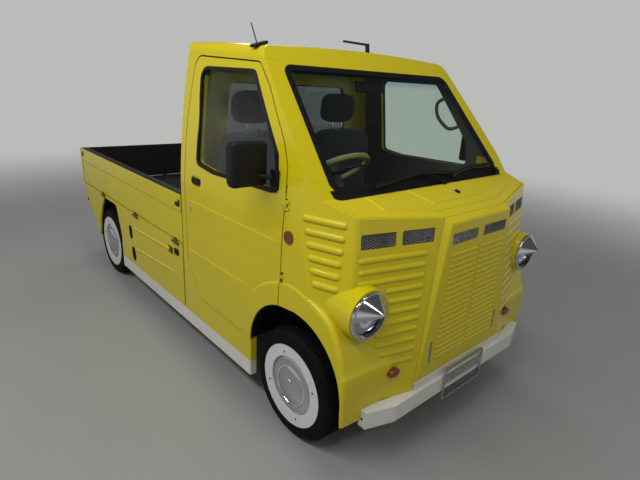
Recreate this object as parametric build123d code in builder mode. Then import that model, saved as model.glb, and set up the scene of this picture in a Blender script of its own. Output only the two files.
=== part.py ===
from build123d import *
from math import asin, degrees, hypot, radians, sin, cos, sqrt
import os

os.makedirs("parts", exist_ok=True)

# Kei truck. Millimetres, +X forward, +Y to the vehicle's left, +Z up.
# The origin is on the floor, under the middle of the bounding box.

# Overall sizes
overall_length = 3395.0
front_overhang = 450.0
wheelbase = 2350.0
body_width = 1475.0
roof_height = 1765.0
front_end = overall_length / 2
rear_end = -overall_length / 2
front_axle_x = front_end - front_overhang
rear_axle_x = front_axle_x - wheelbase
half_width = body_width / 2

# Wheels, 145/80R12
tyre_radius = 268.0
tyre_width = 147.0
track = 1290.0
rim_radius = 152.4
rim_width = 101.6
white_ring_radius = 210.0
hub_cap_radius = 140.0
wheel_y = track / 2

# Steering
kingpin_y = 575.0
kingpin_radius = 11.0
pin_clearance = 0.05
steering_lock_deg = 32.0

# Walls of the cab
side_wall = 34.0
screen_wall = 26.0
nose_wall = 22.0
roof_wall = 26.0
rear_wall = 26.0
moving_gap = 6.5

# Cab planes
cab_rear_x = 251.0
roof_rear_x = 222.0
roof_arc_radius = 9000.0
waist_z = 1030.0
cab_bottom_z = 250.0
screen_low = (1373.5, 1163.0)
screen_top = (941.5, 1657.0)
hood_slope = 0.27
roof_edge_radius = 58.0

# Nose: the corner where the front panel meets the slanted side panel
nose_corner = (1520.5, -653.0, 1110.0)
seam_top = (1626.5, -255.0, 1100.0)
seam_low = (1661.5, -358.0, 368.0)
slant_top = (1265.5, -half_width, 1155.0)
slant_low = (1373.5, -half_width, 751.0)
nose_bottom_z = 284.0
pillar_seam_z = 1225.0
nose_edge_radius = 35.0
fender_edge = [(1174.0, 600.0), (1177.5, 780.0), (1182.5, 984.0), (1186.0, 1136.0)]

# Door
door_rear = [(470.0, 384.0), (307.0, 562.0), (297.0, 935.0), (303.0, 1300.0), (338.0, 1679.0)]
door_front = [(897.0, 1655.0), (993.0, 1560.0), (1141.0, 1350.0), (1177.0, 1264.0)]
door_low_front = (1174.0, 373.0)
door_hinge_x = 1195.0
door_hinge_inset = 5.0
door_hinge_heights = (790.0, 1110.0)
door_open_deg = 65.0

# Side window in the door
window_outline = [(419.0, 1618.0), (870.0, 1613.0), (1100.0, 1300.0), (1126.0, 1159.0), (1080.0, 1150.0),
                  (600.0, 1140.0), (440.0, 1158.0)]

# Wheel arches
front_arch_rear_x = 957.5
front_arch_front_x = 1606.0
front_arch_top_z = 662.0
flare_proud = 6.0
rear_arch_front_x = -800.0

# Bed
bed_front_x = 234.0
gate_rear_x = -1632.0
gate_thickness = 30.0
gate_bottom_z = 657.0
gate_top_z = 942.0
bed_floor_z = 655.0
bed_floor_thickness = 16.0
gate_hinge_outset = 9.0
tailgate_inner_x = gate_rear_x - 6.0
tailgate_outer_x = tailgate_inner_x - gate_thickness
skirt_thickness = 12.0
skirt_bottom_z = 250.0
strip_bottom_z = 168.0

# Frame and running gear
rail_height = 90.0
rail_low_top = 368.0
rail_high_top = 508.0
rail_inner_y = 320.0
rail_outer_y = 380.0
cross_member_depth = 62.0
floor_sheet = 12.0

# Front number plate
plate_frame_depth = 10.0
bumper_front_x = front_end - plate_frame_depth
plate_width = 330.0
plate_height = 165.0
plate_z = 288.0
plate_screw_z = 311.0
plate_screw_pitch = 210.0
plate_screw_radius = 3.5

# Lamps
headlamp_y = 632.0
headlamp_z = 757.0
headlamp_radius = 100.0
pod_radius = 104.0
pod_root_x = 1390.0
pod_root = (-567.0, 735.0)
pod_root_radius = 140.0
headlamp_front_x = 1607.5
lamp_ring = 14.0
lamp_bowl_wall = 5.0
lamp_bowl_depth = 40.0
lamp_bowl_radius = headlamp_radius - lamp_ring
bezel_back_x = headlamp_front_x - 8
bowl_back_x = bezel_back_x - lamp_bowl_depth


def vec(p):
    return Vector(*p)


def mirrored(p):
    """A point on the other side of the vehicle."""
    return (p[0], -p[1], p[2])


def plane_through(a, b, c, outward, inset):
    """The plane through three points, facing outward, moved inwards by inset."""
    a, b, c = vec(a), vec(b), vec(c)
    normal = (b - a).cross(c - a).normalized()
    if normal.dot(vec(outward)) < 0:
        normal = normal * -1
    return Plane(origin=a - normal * inset, z_dir=normal)


def nose_planes(inset):
    """The nose's front and slanted planes on both sides, moved inwards."""
    planes = []
    for side in (lambda p: p, mirrored):
        out_y = side((0, -1, 0))[1]
        planes.append(plane_through(side(nose_corner), side(seam_top), side(seam_low), (1, out_y * 0.3, 0),
                                    inset))
        planes.append(plane_through(side(slant_top), side(slant_low), side(nose_corner), (0.3, out_y, 0),
                                    inset))
    return planes


def meet(plane, point, direction):
    """Where a line through a point meets a plane."""
    point, direction = vec(point), vec(direction)
    return point + direction * ((plane.origin - point).dot(plane.z_dir) / direction.dot(plane.z_dir))


def bead(start, end, normal, width, height):
    """A rounded rib on a flat panel between two points of it, with round ends about those points."""
    radius = (width ** 2 / 4 + height ** 2) / (2 * height)
    sink = normal * (radius - height)
    with BuildPart() as piece:
        with BuildSketch(Plane(origin=start - sink, z_dir=end - start)):
            Circle(radius)
        extrude(amount=(end - start).length)
        for centre in (start, end):
            with Locations(Location(centre - sink)):
                Sphere(radius)
        split(bisect_by=Plane(origin=start - normal * 2, z_dir=normal), keep=Keep.TOP)
    return piece.part


def hood_z(x, inset=0.0):
    """Height of the hood's top at x."""
    return screen_low[1] - hood_slope * (x - screen_low[0]) - inset


def screen_x(z, inset=0.0):
    """Place of the windscreen's outer plane at height z."""
    run = (screen_low[0] - screen_top[0]) / (screen_top[1] - screen_low[1])
    return screen_low[0] - run * (z - screen_low[1]) - inset


def crown_section(wall, top_wall):
    """Half section of the cab above the waist: leaning side, then the crowned roof."""
    return {
        "foot": (-half_width + wall, waist_z - 230.0),
        "waist": (-half_width + wall, waist_z),
        "shoulder": (-713.0 + wall, 1350.0),
        "edge": (-652.0 + wall, roof_height - 21.0 - top_wall),
        "crown": (0.0, roof_height - top_wall),
    }


def nose_corner_edges(piece):
    """The upright edges where the nose's front and slanted panels meet."""
    return piece.edges().filter_by(
        lambda e: 600 < abs(e.center().Y) < 740 and 1480 < e.center().X < 1600 and e.length > 180)


def cab_block(wall, top_wall, front_wall, nose_inset, rear_inset, bottom_z):
    """The whole cab as one solid, its planes moved inwards by the walls."""
    s = crown_section(wall, top_wall)
    nose_limit = front_end
    with BuildPart() as block:
        with BuildSketch(Plane.YZ.offset(roof_rear_x)):
            with BuildLine():
                Line(s["foot"], s["waist"])
                ThreePointArc(s["waist"], s["shoulder"], s["edge"])
                ThreePointArc(s["edge"], s["crown"], (-s["edge"][0], s["edge"][1]))
                ThreePointArc((-s["edge"][0], s["edge"][1]), (-s["shoulder"][0], s["shoulder"][1]),
                              (-s["waist"][0], s["waist"][1]))
                Line((-s["waist"][0], s["waist"][1]), (-s["foot"][0], s["foot"][1]))
                Line((-s["foot"][0], s["foot"][1]), s["foot"])
            make_face()
        # The turn goes on until its lowest point is past the nose, so only the planes below cut the front
        foot_radius = roof_arc_radius - roof_height + s["foot"][1]
        revolve(axis=Axis((roof_rear_x, 0, roof_height - roof_arc_radius), (0, 1, 0)),
                revolution_arc=degrees(asin((nose_limit + 20 - roof_rear_x) / foot_radius)))
        roof_edges = block.edges().filter_by(
            lambda e: e.center().Z > 1640 and abs(e.center().Y) > 560 and e.length > 900)
        fillet(roof_edges, roof_edge_radius - top_wall)
        with BuildSketch(Plane.XZ):
            with BuildLine():
                Polyline((cab_rear_x + rear_inset, bottom_z), (nose_limit, bottom_z),
                         (nose_limit, waist_z - 150), (cab_rear_x + rear_inset, waist_z - 150), close=True)
            make_face()
        extrude(amount=half_width - wall, both=True)
        # Everything above the windscreen and the hood, and behind the rear wall, goes
        with BuildSketch(Plane.XZ):
            with BuildLine():
                crease_x = screen_low[0] - front_wall * 0.75
                Polyline((screen_x(2000.0, front_wall * 1.33), 2000.0),
                         (crease_x, hood_z(crease_x, nose_inset)),
                         (nose_limit + 10, hood_z(nose_limit + 10, nose_inset)),
                         (nose_limit + 10, 2000.0), close=True)
            make_face()
            with BuildLine():
                Polyline((0, 0), (cab_rear_x + rear_inset, 0), (cab_rear_x + rear_inset, 1716.0 - top_wall),
                         (roof_rear_x + rear_inset, 1722.0 - top_wall), (roof_rear_x + rear_inset, 2000),
                         (0, 2000), close=True)
            make_face()
        extrude(amount=half_width + 100, both=True, mode=Mode.SUBTRACT)
        for plane in nose_planes(nose_inset):
            split(bisect_by=plane, keep=Keep.BOTTOM)
        fillet(nose_corner_edges(block), nose_edge_radius - nose_inset)
    return block.part


def front_arch(inner_y, outer_y):
    """The front wheel opening as a block on the right."""
    rear = front_arch_rear_x
    front = front_arch_front_x
    with BuildPart() as arch:
        with BuildSketch(Plane.XZ.offset(inner_y)):
            with BuildLine():
                Line((rear, 100), (rear, 400))
                ThreePointArc((rear, 400), (1045, 583), (1232, front_arch_top_z))
                ThreePointArc((1232, front_arch_top_z), (1486, 600), (front - 14, 400))
                Line((front - 14, 400), (front, 100))
                Line((front, 100), (rear, 100))
            make_face()
        extrude(amount=outer_y - inner_y)
    return arch.part


def finish_piece(piece, name):
    """Names a finished piece and writes it."""
    piece.label = name
    export_step(piece, "parts/" + name + ".step")


cab_outer = cab_block(0, 0, 0, 0, 0, cab_bottom_z)
cab_inner = cab_block(side_wall, roof_wall, screen_wall, nose_wall, rear_wall, cab_bottom_z - 50)

with BuildPart() as cab_shell:
    add(cab_outer)
    add(cab_inner, mode=Mode.SUBTRACT)


def both_sides(right, name):
    """Writes a right-hand piece and its mirror image as one node of two solids."""
    with BuildPart() as pair:
        add(right)
        mirror(about=Plane.XZ)
    finish_piece(pair.part, name)
    return pair.part


def each_side(right, name):
    """Writes a right-hand piece and its mirror image as two nodes."""
    finish_piece(right, name + "_right")
    finish_piece(mirror(right, about=Plane.XZ), name + "_left")


def block(x, y, z):
    """A box from its limits along X, Y and Z."""
    with BuildPart() as piece:
        with Locations(((x[0] + x[1]) / 2, (y[0] + y[1]) / 2, (z[0] + z[1]) / 2)):
            Box(x[1] - x[0], y[1] - y[0], z[1] - z[0])
    return piece.part


def rod(start, end, radius):
    """A round bar between two points."""
    start, end = vec(start), vec(end)
    with BuildPart() as piece:
        with BuildSketch(Plane(origin=start, z_dir=end - start)):
            Circle(radius)
        extrude(amount=(end - start).length)
    return piece.part


def side_layer(outer_inset, inner_inset):
    """A thin layer that follows the leaning side on the right, for the door glass."""
    a = crown_section(outer_inset, 60.0)
    b = crown_section(inner_inset, 60.0)
    with BuildPart() as layer:
        with BuildSketch(Plane.YZ.offset(roof_rear_x)):
            with BuildLine():
                Line(a["foot"], a["waist"])
                ThreePointArc(a["waist"], a["shoulder"], a["edge"])
                Line(a["edge"], b["edge"])
                ThreePointArc(b["edge"], b["shoulder"], b["waist"])
                Line(b["waist"], b["foot"])
                Line(b["foot"], a["foot"])
            make_face()
        revolve(axis=Axis((roof_rear_x, 0, roof_height - roof_arc_radius), (0, 1, 0)),
                revolution_arc=degrees(asin((front_axle_x - roof_rear_x) / roof_arc_radius)))
    return layer.part


# Outlines of the door and its window, on the middle of the seam
door_outline = door_rear + door_front + list(reversed(fender_edge)) + [door_low_front]
door_corners = {(338.0, 1679.0): 62.0, (897.0, 1655.0): 40.0, (307.0, 562.0): 30.0, (470.0, 384.0): 30.0}
window_corners = {(419.0, 1618.0): 45.0, (870.0, 1613.0): 40.0, (1126.0, 1159.0): 40.0, (440.0, 1158.0): 30.0}


def grown_prism(points, corners, grow, inner_y, outer_y):
    """The right-hand block of an outline with rounded corners, grown or shrunk."""
    with BuildPart() as prism:
        with BuildSketch(Plane.XZ.offset(inner_y)) as outline:
            with BuildLine():
                Polyline(*points, close=True)
            make_face()
            for point, radius in corners.items():
                fillet(outline.vertices().sort_by_distance((point[0], point[1], 0))[0], radius)
            if grow:
                offset(amount=grow, kind=Kind.INTERSECTION, mode=Mode.REPLACE)
        extrude(amount=outer_y - inner_y)
    return prism.part


side_inner_y = half_width - side_wall
door_opening = grown_prism(door_outline, door_corners, moving_gap / 2, 600.0, 800.0)
door_prism = grown_prism(door_outline, door_corners, -moving_gap / 2, 600.0, 800.0)
window_prism = grown_prism(window_outline, window_corners, 0, 600.0, 800.0)
arch_hole = front_arch(600.0, 800.0)
hood_line = [(1392.0, hood_z(1392.0, nose_wall)), (front_end + 20, hood_z(front_end + 20, nose_wall))]

# Front fender: its outline on the outer face, swept inwards so that the front leans into the ribbed panel
fender_line = [(873.5, 400.0), (898.0, 530.0), (975.0, 662.0), (1080.0, 738.0), (1188.0, 777.0),
               (1263.0, 788.0), (1368.0, 768.0), (1469.0, 727.0), (1544.0, 658.0), (1596.0, 514.0),
               (1605.0, 450.0)]
fender_inner_y = 480.0
fender_sweep = Vector(0.08, 1, 0)
fender_edge_radius = 20.0
fender_foot_z = 100.0
with BuildPart() as fender:
    with BuildSketch(Plane.XZ.offset(half_width + flare_proud)):
        with BuildLine():
            Spline(*fender_line, tangents=((0, 1), (0, -1)))
            Polyline(fender_line[-1], (fender_line[-1][0], fender_foot_z), (fender_line[0][0], fender_foot_z),
                     fender_line[0])
        make_face()
    extrude(amount=(half_width + flare_proud - fender_inner_y) * fender_sweep.length,
            dir=tuple(fender_sweep.normalized()))
    fillet(fender.edges().group_by(Axis.Y)[0].filter_by(lambda e: e.center().Z > fender_foot_z + 10),
           fender_edge_radius)

# Roof, side frames, rear wall, hood and nose are cut from the cab's shell
roof_seam = [(200.0, 1699.0), (1040.0, 1660.0)]
header_y = 575.0
cowl_y = 640.0
cowl_rear_x = 1325.0
cowl_front_x = 1392.0
cowl_corner_radius = 42.0
with BuildPart() as cowl_region:
    add(block((cowl_rear_x - 200, cowl_front_x), (-cowl_y, cowl_y), (900.0, 1300.0)))
    fillet(cowl_region.edges().filter_by(Axis.Z).group_by(Axis.X)[-1], cowl_corner_radius)

with BuildPart() as roof_region:
    with BuildSketch(Plane.XZ):
        with BuildLine():
            Polyline(roof_seam[0], roof_seam[1], (1040.0, 1850.0), (200.0, 1850.0), close=True)
        make_face()
    extrude(amount=800, both=True)
    add(block((850.0, 1060.0), (-header_y, header_y), (1600.0, 1800.0)))

screen_plane = Plane(origin=(screen_low[0], 0, screen_low[1]), x_dir=(0, 1, 0),
                     z_dir=(screen_top[1] - screen_low[1], 0, screen_low[0] - screen_top[0]))
screen_length = (vec((screen_top[0], 0, screen_top[1])) - vec((screen_low[0], 0, screen_low[1]))).length
screen_opening = [(-632.0, 16.0), (632.0, 16.0), (588.0, screen_length - 8.0), (-588.0, screen_length - 8.0)]
screen_seal_width = 30.0
screen_glass = 6.0


def screen_prism(shrink, low, high):
    """A block square to the windscreen, from low to high beside its outer plane."""
    with BuildPart() as prism:
        with BuildSketch(screen_plane.offset(low)) as outline:
            with BuildLine():
                Polyline(*screen_opening, close=True)
            make_face()
            fillet(outline.vertices(), 55.0)
            if shrink:
                offset(amount=-shrink, kind=Kind.INTERSECTION, mode=Mode.REPLACE)
        extrude(amount=high - low)
    return prism.part


with BuildPart() as roof:
    add(cab_shell.part)
    add(roof_region.part, mode=Mode.INTERSECT)
    add(screen_prism(0, -70, 30), mode=Mode.SUBTRACT)
finish_piece(roof.part, "roof")

rear_wall_y = 690.0
rear_window = [(-470.0, 1185.0), (470.0, 1185.0), (440.0, 1560.0), (-440.0, 1560.0)]


def rear_window_prism(start_x, depth):
    """The rear window's outline as a block along X."""
    with BuildPart() as prism:
        with BuildSketch(Plane.YZ.offset(start_x)) as outline:
            with BuildLine():
                Polyline(*rear_window, close=True)
            make_face()
            fillet(outline.vertices(), 50.0)
        extrude(amount=depth)
    return prism.part


with BuildPart() as cab_rear_wall:
    add(cab_shell.part)
    add(block((roof_rear_x - 5, cab_rear_x + rear_wall), (-rear_wall_y, rear_wall_y), (rail_low_top, 1800.0)),
        mode=Mode.INTERSECT)
    add(roof_region.part, mode=Mode.SUBTRACT)
    add(rear_window_prism(cab_rear_x - 20, 80), mode=Mode.SUBTRACT)
finish_piece(cab_rear_wall.part, "cab_rear_wall")

with BuildPart() as bumper:
    with BuildSketch(Plane.XY.offset(252.0)):
        with BuildLine():
            Polyline((bumper_front_x, -500), (bumper_front_x, 500), (1644, 635), (1604, 635), (1636, 470),
                     (1600, 400), (1600, -400), (1636, -470), (1604, -635), (1644, -635), close=True)
        make_face()
    extrude(amount=80.0)
    fillet(bumper.edges().filter_by(Axis.Z).filter_by(lambda e: e.center().X > 1680), 30.0)
    add(block((1600.0, 1672.0), (-357.0, 357.0), (300.0, 371.0)))
    for side in (-1, 1):
        y = side * plate_screw_pitch / 2
        add(rod((1590.0, y, plate_screw_z), (front_end, y, plate_screw_z), plate_screw_radius),
            mode=Mode.SUBTRACT)
finish_piece(bumper.part, "front_bumper")

# Centre panel of the nose: a bevelled box that stands forward of its seam
grille_depth = 20.0
grille_seam = ((seam_top[0], 255.0, 1096.0), (seam_low[0], 357.5, 372.0))
grille_face = ((1661.5, 240.0, 1076.0), (1667.5, 347.0, 374.0))
grille_groove = 2.5
grille_groove_depth = 6.0
grille_edge_radius = 12.0
grille_windows_y = (23.0, 221.0)
grille_windows_z = (980.0, 1030.0)
grille_slot_y = 270.0
grille_slots_z = (435.0, 540.0)
grille_slot_width = 18.0
louvre_count = 20
louvre_pitch = 25.5
louvre_top_z = 934.0
louvre_width = 17.0
louvre_height = 5.0
mesh_inset = 8.0
mesh_thickness = 3.0
window_radius = 8.0


def seam_half(z):
    """Half width of the centre panel at its seam."""
    (_, top_y, top_z), (_, low_y, low_z) = grille_seam
    return top_y + (top_z - z) * (low_y - top_y) / (top_z - low_z)


def trapezoid_plane(ends):
    """The plane of a trapezoid across the nose, and the trapezoid's height along it."""
    (top_x, _, top_z), (low_x, _, low_z) = ends
    rise = Vector(top_x - low_x, 0, top_z - low_z)
    return Plane(origin=(top_x, 0, top_z), x_dir=(0, 1, 0), z_dir=Vector(0, 1, 0).cross(rise)), rise.length


def trapezoid(ends, shrink, depth):
    """The trapezoid's face, its sides moved inwards, at a depth behind its plane."""
    face_plane, face_height = trapezoid_plane(ends)
    top, low = ends[0][1] - shrink, ends[1][1] - shrink
    with BuildSketch(face_plane.offset(-depth)) as face:
        with BuildLine():
            Polyline((-top, 0), (top, 0), (low, -face_height), (-low, -face_height), close=True)
        make_face()
    return face.sketch


def grille_window_sketch(depth):
    """The two mesh windows of the centre panel, at a depth behind its face."""
    face_plane, _ = trapezoid_plane(grille_face)
    low, high = grille_windows_z
    with BuildSketch(face_plane.offset(-depth)) as windows:
        for side in (-1, 1):
            with Locations((side * sum(grille_windows_y) / 2, (low + high) / 2 - grille_face[0][2])):
                RectangleRounded(grille_windows_y[1] - grille_windows_y[0], high - low, window_radius)
    return windows.sketch


def grille_face_x(z):
    """Place of the centre panel's face at height z."""
    (top_x, _, top_z), (low_x, _, low_z) = grille_face
    return top_x + (top_z - z) * (low_x - top_x) / (top_z - low_z)


# Two columns of louvres, each a run of half-round bars that widens downwards
with BuildPart() as louvres:
    with BuildSketch(Plane.XZ):
        for i in range(louvre_count):
            z = louvre_top_z - i * louvre_pitch
            with BuildLine():
                bar = ThreePointArc((grille_face_x(z) - 2, z - louvre_width / 2),
                                    (grille_face_x(z) + louvre_height, z),
                                    (grille_face_x(z) - 2, z + louvre_width / 2))
                Line(bar @ 1, bar @ 0)
            make_face()
    extrude(amount=300, both=True)
    with BuildSketch(Plane.YZ.offset(grille_face[0][0] - 20)):
        for side in (-1, 1):
            with BuildLine():
                Polyline((side * 8, 960), (side * 210, 960), (side * 239, 430), (side * 8, 430), close=True)
            make_face()
    extrude(amount=60, mode=Mode.INTERSECT)

with BuildPart() as grille:
    add(loft([trapezoid(grille_seam, grille_groove, 0), trapezoid(grille_face, 0, 0)], ruled=True))
    fillet(grille.edges().filter_by(lambda e: abs(e.center().X - grille_face_x(e.center().Z)) < 0.5
                                    and e.center().Z > grille_face[1][2] + 10), grille_edge_radius)
    extrude(trapezoid(grille_seam, grille_groove, 0), amount=-grille_depth)
    extrude(trapezoid(grille_seam, 0, grille_groove_depth), amount=grille_groove_depth - grille_depth)
    # The hood's front edge lies behind the panel's top
    add(block((1500.0, seam_top[0] + 1), (-300.0, 300.0), (1070.0, 1200.0)), mode=Mode.SUBTRACT)
    extrude(grille_window_sketch(-10), amount=-90, mode=Mode.SUBTRACT)
    for side in (-1, 1):
        low, high = sorted((side * (grille_slot_y - grille_slot_width / 2),
                            side * (grille_slot_y + grille_slot_width / 2)))
        add(block((1560.0, 1750.0), (low, high), grille_slots_z), mode=Mode.SUBTRACT)
    add(louvres.part)
finish_piece(grille.part, "grille_panel")

# The side of the nose: everything ahead of the door seam and below the hood
with BuildPart() as nose_region:
    with BuildSketch(Plane.XZ):
        with BuildLine():
            Polyline(*[(x + moving_gap / 2, z) for x, z in fender_edge],
                     (1187.0 + moving_gap / 2, pillar_seam_z), (cowl_front_x, pillar_seam_z), *hood_line,
                     (front_end + 20, nose_bottom_z), (1174.0 + moving_gap / 2, nose_bottom_z), close=True)
        make_face()
    extrude(amount=800, both=True)
    add(cowl_region.part, mode=Mode.SUBTRACT)
    with BuildSketch(Plane.YZ.offset(1500.0)):
        with BuildLine():
            Polyline((-seam_half(1300.0), 1300.0), (seam_half(1300.0), 1300.0), (seam_half(260.0), 260.0),
                     (-seam_half(260.0), 260.0), close=True)
        make_face()
    extrude(amount=300, mode=Mode.SUBTRACT)

# Fender and headlamp pod, which stand out of the panel
with BuildPart() as nose_bulges:
    with BuildSketch(Plane.YZ.offset(bezel_back_x)):
        with Locations((-headlamp_y, headlamp_z)):
            Circle(pod_radius)
    with BuildSketch(Plane.YZ.offset(pod_root_x)):
        with Locations(pod_root):
            Circle(pod_root_radius)
    loft()
    add(fender.part)
    add(nose_region.part, mode=Mode.INTERSECT)
    add(cab_inner, mode=Mode.SUBTRACT)

# Ribs across the front panel, which stop short of the lamp and the fender, and along the slanted panel
front_plane, slant_plane = nose_planes(0)[:2]
front_ribs = {"count": 11, "top_z": 957.0, "pitch": 46.0, "inner_y": 325.0, "lean": 0.0957, "width": 26.0,
              "height": 7.0, "outer_y": 645.0, "low_outer_y": 565.0, "lamp_reach": 126.0}
slant_ribs = {"count": 6, "top_z": 1087.0, "pitch": 51.0, "rear_x": 1299.5, "rear_step": 14.6,
              "front_x": 1487.5, "width": 30.0, "height": 10.0}


def rib_outer_y(z):
    """Outer end of a front rib: the panel's edge, or clear of the lamp or the fender."""
    off_lamp = abs(z - headlamp_z)
    if off_lamp < headlamp_radius:
        return headlamp_y - sqrt(front_ribs["lamp_reach"] ** 2 - off_lamp ** 2)
    return front_ribs["outer_y"] if z > headlamp_z else front_ribs["low_outer_y"]


with BuildPart() as nose_ribs:
    half = front_ribs["width"] / 2
    for i in range(front_ribs["count"]):
        z = front_ribs["top_z"] - i * front_ribs["pitch"]
        inner_y = front_ribs["inner_y"] + (front_ribs["top_z"] - z) * front_ribs["lean"] + half
        ends = [meet(front_plane, (1500.0, -y, z), (1, 0, 0)) for y in (inner_y, rib_outer_y(z) - half)]
        add(bead(ends[0], ends[1], front_plane.z_dir, front_ribs["width"], front_ribs["height"]))
    half = slant_ribs["width"] / 2
    for i in range(slant_ribs["count"]):
        z = slant_ribs["top_z"] - i * slant_ribs["pitch"]
        rear_x = slant_ribs["rear_x"] + i * slant_ribs["rear_step"] + half
        ends = [meet(slant_plane, (x, -700.0, z), (0, 1, 0)) for x in (rear_x, slant_ribs["front_x"] - half)]
        add(bead(ends[0], ends[1], slant_plane.z_dir, slant_ribs["width"], slant_ribs["height"]))

# Mesh windows of the front panel
nose_windows_y = ((-635.0, -478.0), (-452.0, -294.0))
nose_windows_z = (1000.0, 1060.0)
with BuildPart() as nose_windows:
    with BuildSketch(Plane.YZ.offset(1480.0)):
        for outer, inner in nose_windows_y:
            with Locations(((outer + inner) / 2, sum(nose_windows_z) / 2)):
                RectangleRounded(inner - outer, nose_windows_z[1] - nose_windows_z[0], window_radius)
    extrude(amount=220.0)

with BuildPart() as nose_mesh:
    add(nose_windows.part)
    split(bisect_by=nose_planes(mesh_inset - mesh_thickness)[0], keep=Keep.BOTTOM)
    split(bisect_by=nose_planes(mesh_inset)[0], keep=Keep.TOP)
    mirror(about=Plane.XZ)
    extrude(grille_window_sketch(mesh_inset), amount=mesh_thickness)
finish_piece(nose_mesh.part, "nose_mesh")

# The hood's shut line runs behind the nose's top edges, and the panels below wrap over them
hood_lips = (8.0, 15.0)
hood_gap = 3.0
with BuildPart() as hood_region:
    with BuildSketch(Plane.XZ):
        with BuildLine():
            Polyline(hood_line[0], hood_line[1], (front_end + 20, 1300.0), (cowl_front_x, 1300.0), close=True)
        make_face()
    extrude(amount=800, both=True)


def hood_outline(gap):
    """The hood's plan as an upright block, its sides moved inwards by the lips and a gap."""
    with BuildPart() as outline:
        add(block((cowl_front_x - 100, front_end), (-800.0, 800.0), (900.0, 1300.0)))
        for i in range(4):
            split(bisect_by=nose_planes(hood_lips[i % 2] + gap)[i], keep=Keep.BOTTOM)
        fillet(nose_corner_edges(outline), nose_edge_radius - hood_lips[0] - gap)
        # Between the two seams the hood reaches the centre panel's top
        add(block((cowl_front_x - 100, front_end), (gap - seam_half(1096.0), seam_half(1096.0) - gap),
                  (900.0, 1300.0)))
        add(block((seam_top[0] + 1 - gap, front_end + 10), (-400.0, 400.0), (800.0, 1400.0)),
            mode=Mode.SUBTRACT)
    return outline.part


with BuildPart() as nose_side:
    add(cab_shell.part)
    add(nose_region.part, mode=Mode.INTERSECT)
    with BuildPart() as lip:
        add(cab_shell.part)
        add(hood_region.part, mode=Mode.INTERSECT)
        add(hood_outline(0), mode=Mode.SUBTRACT)
        add(block((1500.0, 1750.0), (-seam_half(1096.0), seam_half(1096.0)), (900.0, 1300.0)),
            mode=Mode.SUBTRACT)
    add(lip.part)
    add(block((1100.0, 1750.0), (-800.0, 0.0), (200.0, 1300.0)), mode=Mode.INTERSECT)
    add(nose_bulges.part)
    add(nose_ribs.part)
    add(nose_windows.part, mode=Mode.SUBTRACT)
    add(rod((bowl_back_x, -headlamp_y, headlamp_z), (front_end, -headlamp_y, headlamp_z), lamp_bowl_radius),
        mode=Mode.SUBTRACT)
    add(arch_hole, mode=Mode.SUBTRACT)
    add(bumper.part, mode=Mode.SUBTRACT)
    add(grille.part, mode=Mode.SUBTRACT)

hinge_y = half_width - door_hinge_inset
hinge_pin_radius = 2.5
hinge_ear_radius = 5.0
hinge_ear_height = 14.0

# Hood: a plate with a raised panel and a crest pressed into it
hood_plane = Plane(origin=(screen_low[0], 0, screen_low[1]), x_dir=(1, 0, -hood_slope),
                   z_dir=(hood_slope, 0, 1))
hood_stretch = hypot(1, hood_slope)
hood_pressings = [(0.0, 4.0, [(1400.0, 489.0), (1504.0, 491.0), (1581.0, 250.0)]),
                  (4.0, 3.0, [(1404.0, 232.0), (1533.0, 197.0)])]
with BuildPart() as hood:
    add(cab_shell.part)
    add(hood_region.part, mode=Mode.INTERSECT)
    add(hood_outline(hood_gap), mode=Mode.INTERSECT)
    for base, height, half_points in hood_pressings:
        with BuildSketch(hood_plane.offset(base - 1)):
            with BuildLine():
                right = [((x - screen_low[0]) * hood_stretch, -y) for x, y in half_points]
                Polyline(*right, *[(x, -y) for x, y in reversed(right)], close=True)
            make_face()
        extrude(amount=height + 1, taper=55)
finish_piece(hood.part, "hood")

# Black cowl below the windscreen, its rubber frame and two wipers
with BuildPart() as screen_trim:
    add(cab_shell.part)
    add(cowl_region.part, mode=Mode.INTERSECT)
    add(block((cowl_rear_x, cowl_front_x), (-cowl_y, cowl_y), (1080.0, 1188.0)), mode=Mode.INTERSECT)
    add(screen_prism(0, -70, 30), mode=Mode.SUBTRACT)
    add(screen_prism(0, -12.0, 2.0))
    add(screen_prism(screen_seal_width, -20.0, 10.0), mode=Mode.SUBTRACT)
finish_piece(screen_trim.part, "screen_trim")

with BuildPart() as cab_glass:
    add(screen_prism(screen_seal_width, -screen_glass - 3, -3))
    add(rear_window_prism(cab_rear_x + 8, 4))
finish_piece(cab_glass.part, "cab_glass")

# Side frame: rear pillar, top rail, front pillar and sill round the door opening
with BuildPart() as side_frame:
    add(cab_shell.part)
    add(block((cab_rear_x - 40, cowl_front_x), (-800.0, -header_y), (cab_bottom_z, 1800.0)),
        mode=Mode.INTERSECT)
    add(block((cab_rear_x - 40, cab_rear_x + rear_wall), (-rear_wall_y, 0), (0.0, 1800.0)),
        mode=Mode.SUBTRACT)
    add(roof_region.part, mode=Mode.SUBTRACT)
    add(nose_region.part, mode=Mode.SUBTRACT)
    add(screen_trim.part, mode=Mode.SUBTRACT)
    add(screen_prism(0, -70, 30), mode=Mode.SUBTRACT)
    add(door_opening, mode=Mode.SUBTRACT)
    add(arch_hole, mode=Mode.SUBTRACT)
    add(block((fender_edge[0][0] - 60, 1400.0), (-800.0, -500.0), (200.0, 1190.0)), mode=Mode.SUBTRACT)
both_sides(side_frame.part, "side_frames")

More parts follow.
